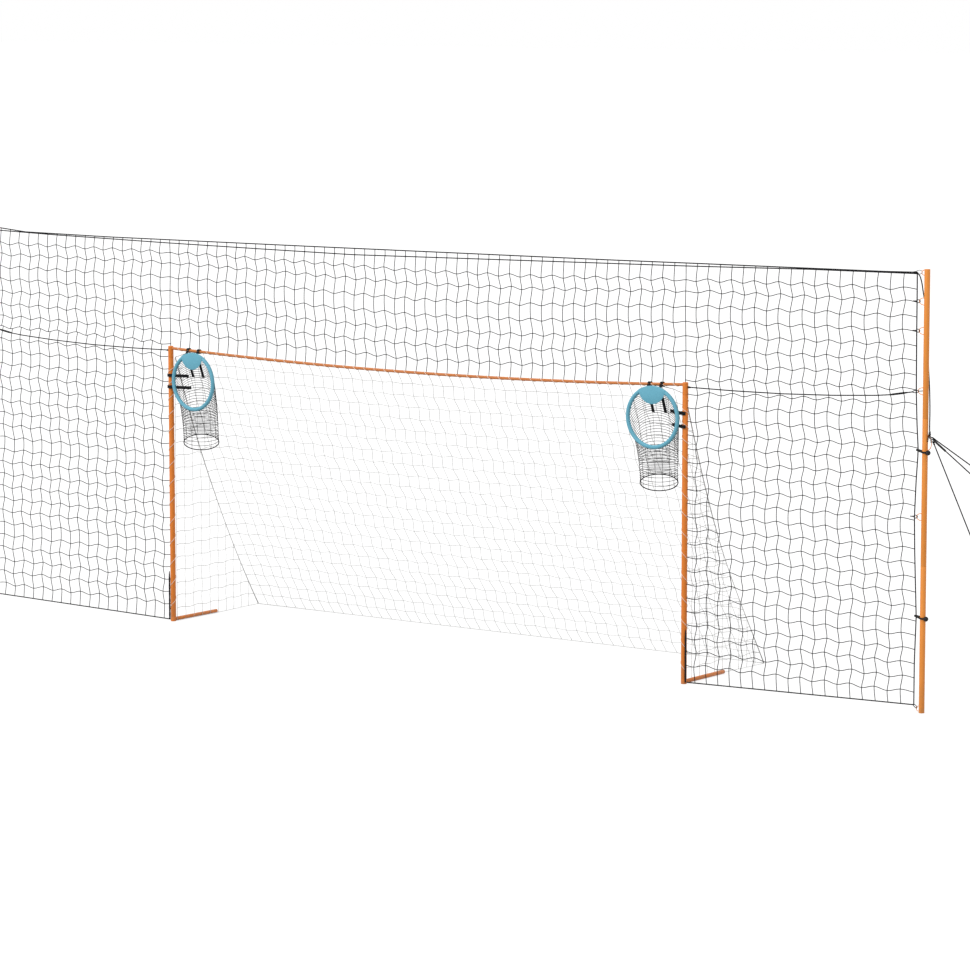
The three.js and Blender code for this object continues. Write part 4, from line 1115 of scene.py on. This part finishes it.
paths = []
for k in range(1, 21):
    z = MESH * k
    long = on_line([(-h, d) for d, h in SLOPE], -z) - front_y
    if long > 0.03:
        count = max(2, int(long / 0.05))
        row = [front_y + long * j / count for j in range(count + 1)]
        paths.append([on_side(y, z + 0.006 * math.sin(j * 1.6)) for j, y in enumerate(row)])
for j in range(1, 11):
    y = front_y + MESH * j
    top = on_line(SLOPE, y)
    if top > 0.05:
        count = max(2, int(top / 0.05))
        column = [(0.005 * math.sin(m * 1.6), 0.006 + (top - 0.006) * m / count)
                  for m in range(count + 1)]
        paths.append([at(side_x + flare(y), y + sway, z) for sway, z in column])
grid = strands("grid", paths, GOAL_TWINE, 4)
slope = [on_side(d, max(h, NET_LOW)) for d, h in SLOPE]
front = [on_side(front_y, z) for z in np.linspace(NET_LOW, 2.06, 20)]
ground = [on_side(y, NET_LOW) for y in np.linspace(front_y, BACK, 20)]
border = strands("border", [slope, front, ground], 0.0018, 7)
side_white = joined("white_net_side_right", [grid, border])
both_sides(side_white, white_twine, "white_twine", "goal_net_side_right")
print("white side net:", len(side_white.data.polygons), "faces")

# %% [markdown]
# A corner target is a foam-covered blue ring with a blue disc behind its upper part. A sleeve of
# black netting hangs from it, and ends in a hoop that the ball drops through.

# %% Target rings and discs
ring_y = -0.0452126
RING, TUBE, DISC = 0.212, 0.015, 0.115
FACING = (math.radians(90), 0, 0)
# x and z are the ring's middle; turn is how far the ring is turned towards the post (degrees);
# heading is the side to which the hem hoop is tipped up; bar is where the two bar straps sit from
# the ring's middle, and lean how far their tails lean; post is each post strap's height from the
# ring's middle and where it ends, and rise how far it rises on the way
targets = {
    "right": {"side": 1, "x": 2.142, "z": 1.8954, "turn": 0.0, "heading": 34,
              "bar": (0.053, -0.053), "lean": 0.005,
              "post": ((0.044, 2.270), (-0.051, 2.290)), "rise": 0.010},
    "left": {"side": -1, "x": 2.128, "z": 1.8948, "turn": 4.6, "heading": -40,
             "bar": (0.078, -0.025), "lean": -0.011,
             "post": ((0.037, 2.213), (-0.053, 2.194)), "rise": 0.0},
}
blue, deeper_blue = linear(110, 181, 203), linear(98, 170, 194)
foam = Finish("target_blue", blue, 0.55, 0.0, 0.35)
patches = foam.noise(14.0, 4.0).between(0.4, 0.7) * 0.35
foam.feed("Base Color", foam.mixed(patches, blue, deeper_blue))
foam.patchy_roughness(40.0, 0.45, 0.2)
foam.bump(foam.noise(420.0, 3.0), 0.25, 0.0004)


def plate(radius, depth, centre):
    return added(bpy.ops.mesh.primitive_cylinder_add, vertices=128, radius=radius, depth=depth,
                 location=centre, rotation=FACING)


for word, target in targets.items():
    middle = at(target["side"] * target["x"], ring_y, target["z"])
    hoop = added(bpy.ops.mesh.primitive_torus_add, major_radius=RING, minor_radius=TUBE,
                 major_segments=96, minor_segments=20, location=middle, rotation=FACING)
    smooth(hoop, 80)
    front = middle - Vector((0, TUBE - 0.0020, 0))
    disc = plate(DISC, 0.005, front + Vector((0, 0, RING)))
    cutter = plate(RING + TUBE - 0.0015, 0.02, front)
    trim = disc.modifiers.new("trim", "BOOLEAN")
    trim.operation, trim.object = "INTERSECT", cutter
    only(disc)
    bpy.ops.object.modifier_apply(modifier=trim.name)
    bpy.data.objects.remove(cutter)
    bevelled(disc, 0.0012)
    ring = joined(f"target_hoop_{word}", [hoop, smooth(disc)])
    turn = Matrix.Rotation(math.radians(target["side"] * target["turn"]), 3, "Z")
    ring.data.transform(Matrix.Translation(middle) @ turn.to_4x4() @ Matrix.Translation(-middle))
    keep(ring, foam.material, "target_blue", f"target_ring_{word}")
    print("target", word, "at", round(target["x"], 3), round(target["z"], 3))

# %% Sleeve nets
HEM, HEM_DROP, HEM_BACK, HEM_TILT = 0.1350, 0.474, 0.090, math.radians(-33)
ROWS_DOWN, COLUMNS_ROUND, STEPS_ROUND = 37, 16, 56
TAKEN_OFF = 0.48  # the share of rows that the sleeve's underside is shorter


def sleeve_point(target, around, along):
    """A place on the sleeve: from the ring's mouth it draws in at once, then hangs down."""
    c, s = math.cos(around), math.sin(around)
    bulge = max(0.0, s)
    middle = at(target["x"], ring_y, target["z"])
    turn = Matrix.Rotation(math.radians(target["turn"]), 3, "Z")
    mouth = middle + turn @ Vector((RING * c, TUBE + 0.002, RING * s))
    heading = Matrix.Rotation(math.radians(target["heading"]), 3, "Z")
    tip = heading @ Matrix.Rotation(HEM_TILT, 3, "X")
    hem = middle + Vector((-0.002, HEM_BACK, -HEM_DROP)) + tip @ Vector((HEM * c, HEM * s, 0))
    pull = mouth * 0.1 + hem * 0.9
    pull.z = (mouth.z + hem.z) / 2 + 0.205 * bulge
    pull += heading @ Vector((0, 0.03 * bulge, 0))
    first = mouth.lerp(pull, along)
    place = first.lerp(pull.lerp(hem, along), along)
    return Vector((target["side"] * place.x, place.y, place.z))


for word, target in targets.items():
    paths = []
    for i in range(COLUMNS_ROUND):
        around = 2 * math.pi * (i + 0.5) / COLUMNS_ROUND
        paths.append([sleeve_point(target, around, j / 36) for j in range(37)])
    uprights = strands("uprights", paths, 0.0011, 5)
    full, part = [], []
    for j in range(1, ROWS_DOWN):
        row = []
        for k in range(STEPS_ROUND + 1):
            around = -math.pi / 2 + 2 * math.pi * k / STEPS_ROUND
            missing = TAKEN_OFF * (1 - math.sin(around)) / 2
            if j / ROWS_DOWN >= missing:
                along = (j / ROWS_DOWN - missing) / (1 - missing)
                row.append(sleeve_point(target, around, along))
        if len(row) == STEPS_ROUND + 1:
            full.append(row[:-1])
        else:
            part.append(row)
    part = strands("part rows", part, 0.0020, 5)
    rows = strands("rows", full, 0.0020, 5, True)
    hem = [sleeve_point(target, 2 * math.pi * k / 72, 1.0) for k in range(72)]
    hem = strands("hem", [hem], 0.0040, 8, True)
    sleeve = joined(f"sleeve_net_{word}", [uprights, rows, part, hem])
    keep(sleeve, black_twine, "black_twine", f"target_sleeve_{word}")
    print("sleeve", word, len(sleeve.data.polygons), "faces")

# %% [markdown]
# Hook-and-loop straps hold each target: two over the crossbar, two round the post. A strap is a
# flat ribbon, so it starts as one edge that is pulled along the strap's side view, then gets its
# thickness and soft edges from modifiers.

# %% Straps
STRAP, STRAP_THICK = 0.024, 0.0025
LOOP_ON_BAR, LOOP_ON_POST = 0.0172, 0.0288
strap_black = Finish("strap_black", linear(15, 15, 17), 0.92, 0.0, 0.25)
weave = strap_black.noise(1400.0, 2.0)
strap_black.feed("Base Color", strap_black.mixed(weave, linear(10, 10, 12), linear(34, 34, 38)))
strap_black.bump(weave, 0.5, 0.0006)


def ribbon(name, points, across):
    """A strap that follows the points; across is the direction of its width."""
    across = Vector(across)
    first = Vector(points[0])
    mesh = bpy.data.meshes.new(name)
    mesh.from_pydata([first - across * STRAP / 2, first + across * STRAP / 2], [(0, 1)], [])
    strap = linked(name, mesh)
    only(strap)
    bpy.ops.object.mode_set(mode="EDIT")
    bpy.ops.mesh.select_mode(type="EDGE")
    bpy.ops.mesh.select_all(action="SELECT")
    for a, b in zip(points, points[1:]):
        step = Vector(b) - Vector(a)
        bpy.ops.mesh.extrude_edges_move(TRANSFORM_OT_translate={"value": tuple(step)})
    bpy.ops.mesh.select_all(action="SELECT")
    bpy.ops.mesh.normals_make_consistent(inside=False)
    bpy.ops.object.mode_set(mode="OBJECT")
    thick = strap.modifiers.new("thick", "SOLIDIFY")
    thick.thickness = STRAP_THICK
    thick.offset = 0
    bpy.ops.object.modifier_apply(modifier=thick.name)
    bevelled(strap, 0.0006, 2, 50)
    return smooth(strap, 50)


behind = ring_y + TUBE + 0.00155
for word, target in targets.items():
    side = target["side"]
    for place, offset in zip(("outer", "inner"), target["bar"]):
        x = target["x"] + offset
        z = bar_z(x)
        top = target["z"] + RING
        points = []
        for a in range(-345, 15, 15):
            y, rise = math.cos(math.radians(a)), math.sin(math.radians(a))
            points.append(at(side * x, -LOOP_ON_BAR * y, z + LOOP_ON_BAR * rise))
        points += [at(side * x, behind, top), at(side * x, behind, top - 0.018)]
        for k in range(1, 6):
            leant = x + target["lean"] * min(1, k / 2)
            points.append(at(side * leant, behind + 0.066 * k / 5, top - 0.018 - 0.166 * k / 5))
        strap = ribbon(f"bar_strap_{place}_{word}", points, (1, 0, 0))
        keep(strap, strap_black.material, "strap_black", f"target_bar_strap_{place}_{word}")
    for place, (rise, end_x) in zip(("upper", "lower"), target["post"]):
        z = target["z"] + rise
        hook = []
        for a in range(38, -202, -15):
            out, y = math.sin(math.radians(a)), math.cos(math.radians(a))
            hook.append(at(side * (post_x + LOOP_ON_POST * out), -LOOP_ON_POST * y, z))
        length = post_x - end_x
        tail = []
        for k in range(9):
            t = k / 8
            y = behind - 0.0003 + 0.026 * max(0.0, t * length - 0.058) / 0.092
            tail.append(at(side * (post_x - length * t), y, z + target["rise"] * t))
        parts = [ribbon("hook", hook, (0, 0, 1)), ribbon("tail", tail, (0, 0, 1))]
        strap = joined(f"post_strap_{place}_{word}", parts)
        keep(strap, strap_black.material, "strap_black", f"target_post_strap_{place}_{word}")
print("straps:", [n for n in made if "strap" in n])

# %% [markdown]
# Light and surroundings. The object was photographed on pure white. The world is white only for
# rays that come straight from the camera or bounce off shiny or clear things; the light itself
# comes from a softer grey sky and one big soft sun from the front left.

# %% World, floor and sun
def where_seen(nodes, least, most):
    """The larger number for rays from the camera or off shiny and clear things."""
    seen = nodes.node("ShaderNodeLightPath", output="Is Camera Ray")
    rays = seen.socket.node.outputs
    for kind in ("Is Glossy Ray", "Is Transmission Ray"):
        seen = seen.larger(Number(nodes, rays[kind]))
    return nodes.node("ShaderNodeMapRange", None, {"Value": seen, "To Min": least, "To Max": most})


world = bpy.data.worlds.new("studio")
bpy.context.scene.world = world
world.use_nodes = True
sky = Nodes(world.node_tree)
background = sky.tree.nodes["Background"].inputs
background["Color"].default_value = (1, 1, 1, 1)
sky.tree.links.new(where_seen(sky, 0.80, 1.0).socket, background["Strength"])

nothing_selected()
bpy.ops.mesh.primitive_plane_add(size=400, location=(0, 0, -0.0005))
floor = bpy.context.view_layer.objects.active
floor.name = "floor"
floor_finish = bpy.data.materials.new("floor")
floor_finish.use_nodes = True
floor_finish.node_tree.nodes.clear()
ground = Nodes(floor_finish.node_tree)
glow_values = {"Color": (1, 1, 1, 1), "Strength": where_seen(ground, 0.0, 0.75)}
glow = ground.node("ShaderNodeEmission", None, glow_values)
dull = ground.node("ShaderNodeBsdfDiffuse", None, {"Color": (0.35, 0.35, 0.35, 1)})
both = ground.node("ShaderNodeAddShader", None, {0: glow, 1: dull})
ground.node("ShaderNodeOutputMaterial", None, {"Surface": both})
floor.data.materials.append(floor_finish)

sun_data = bpy.data.lights.new("sun", "SUN")
sun_data.energy = 1.3
sun_data.angle = math.radians(25)
sun = linked("sun", sun_data)
sun.rotation_euler = (math.radians(48), math.radians(-8), math.radians(-14))
bpy.context.scene.view_settings.view_transform = "Standard"
print("studio is ready")
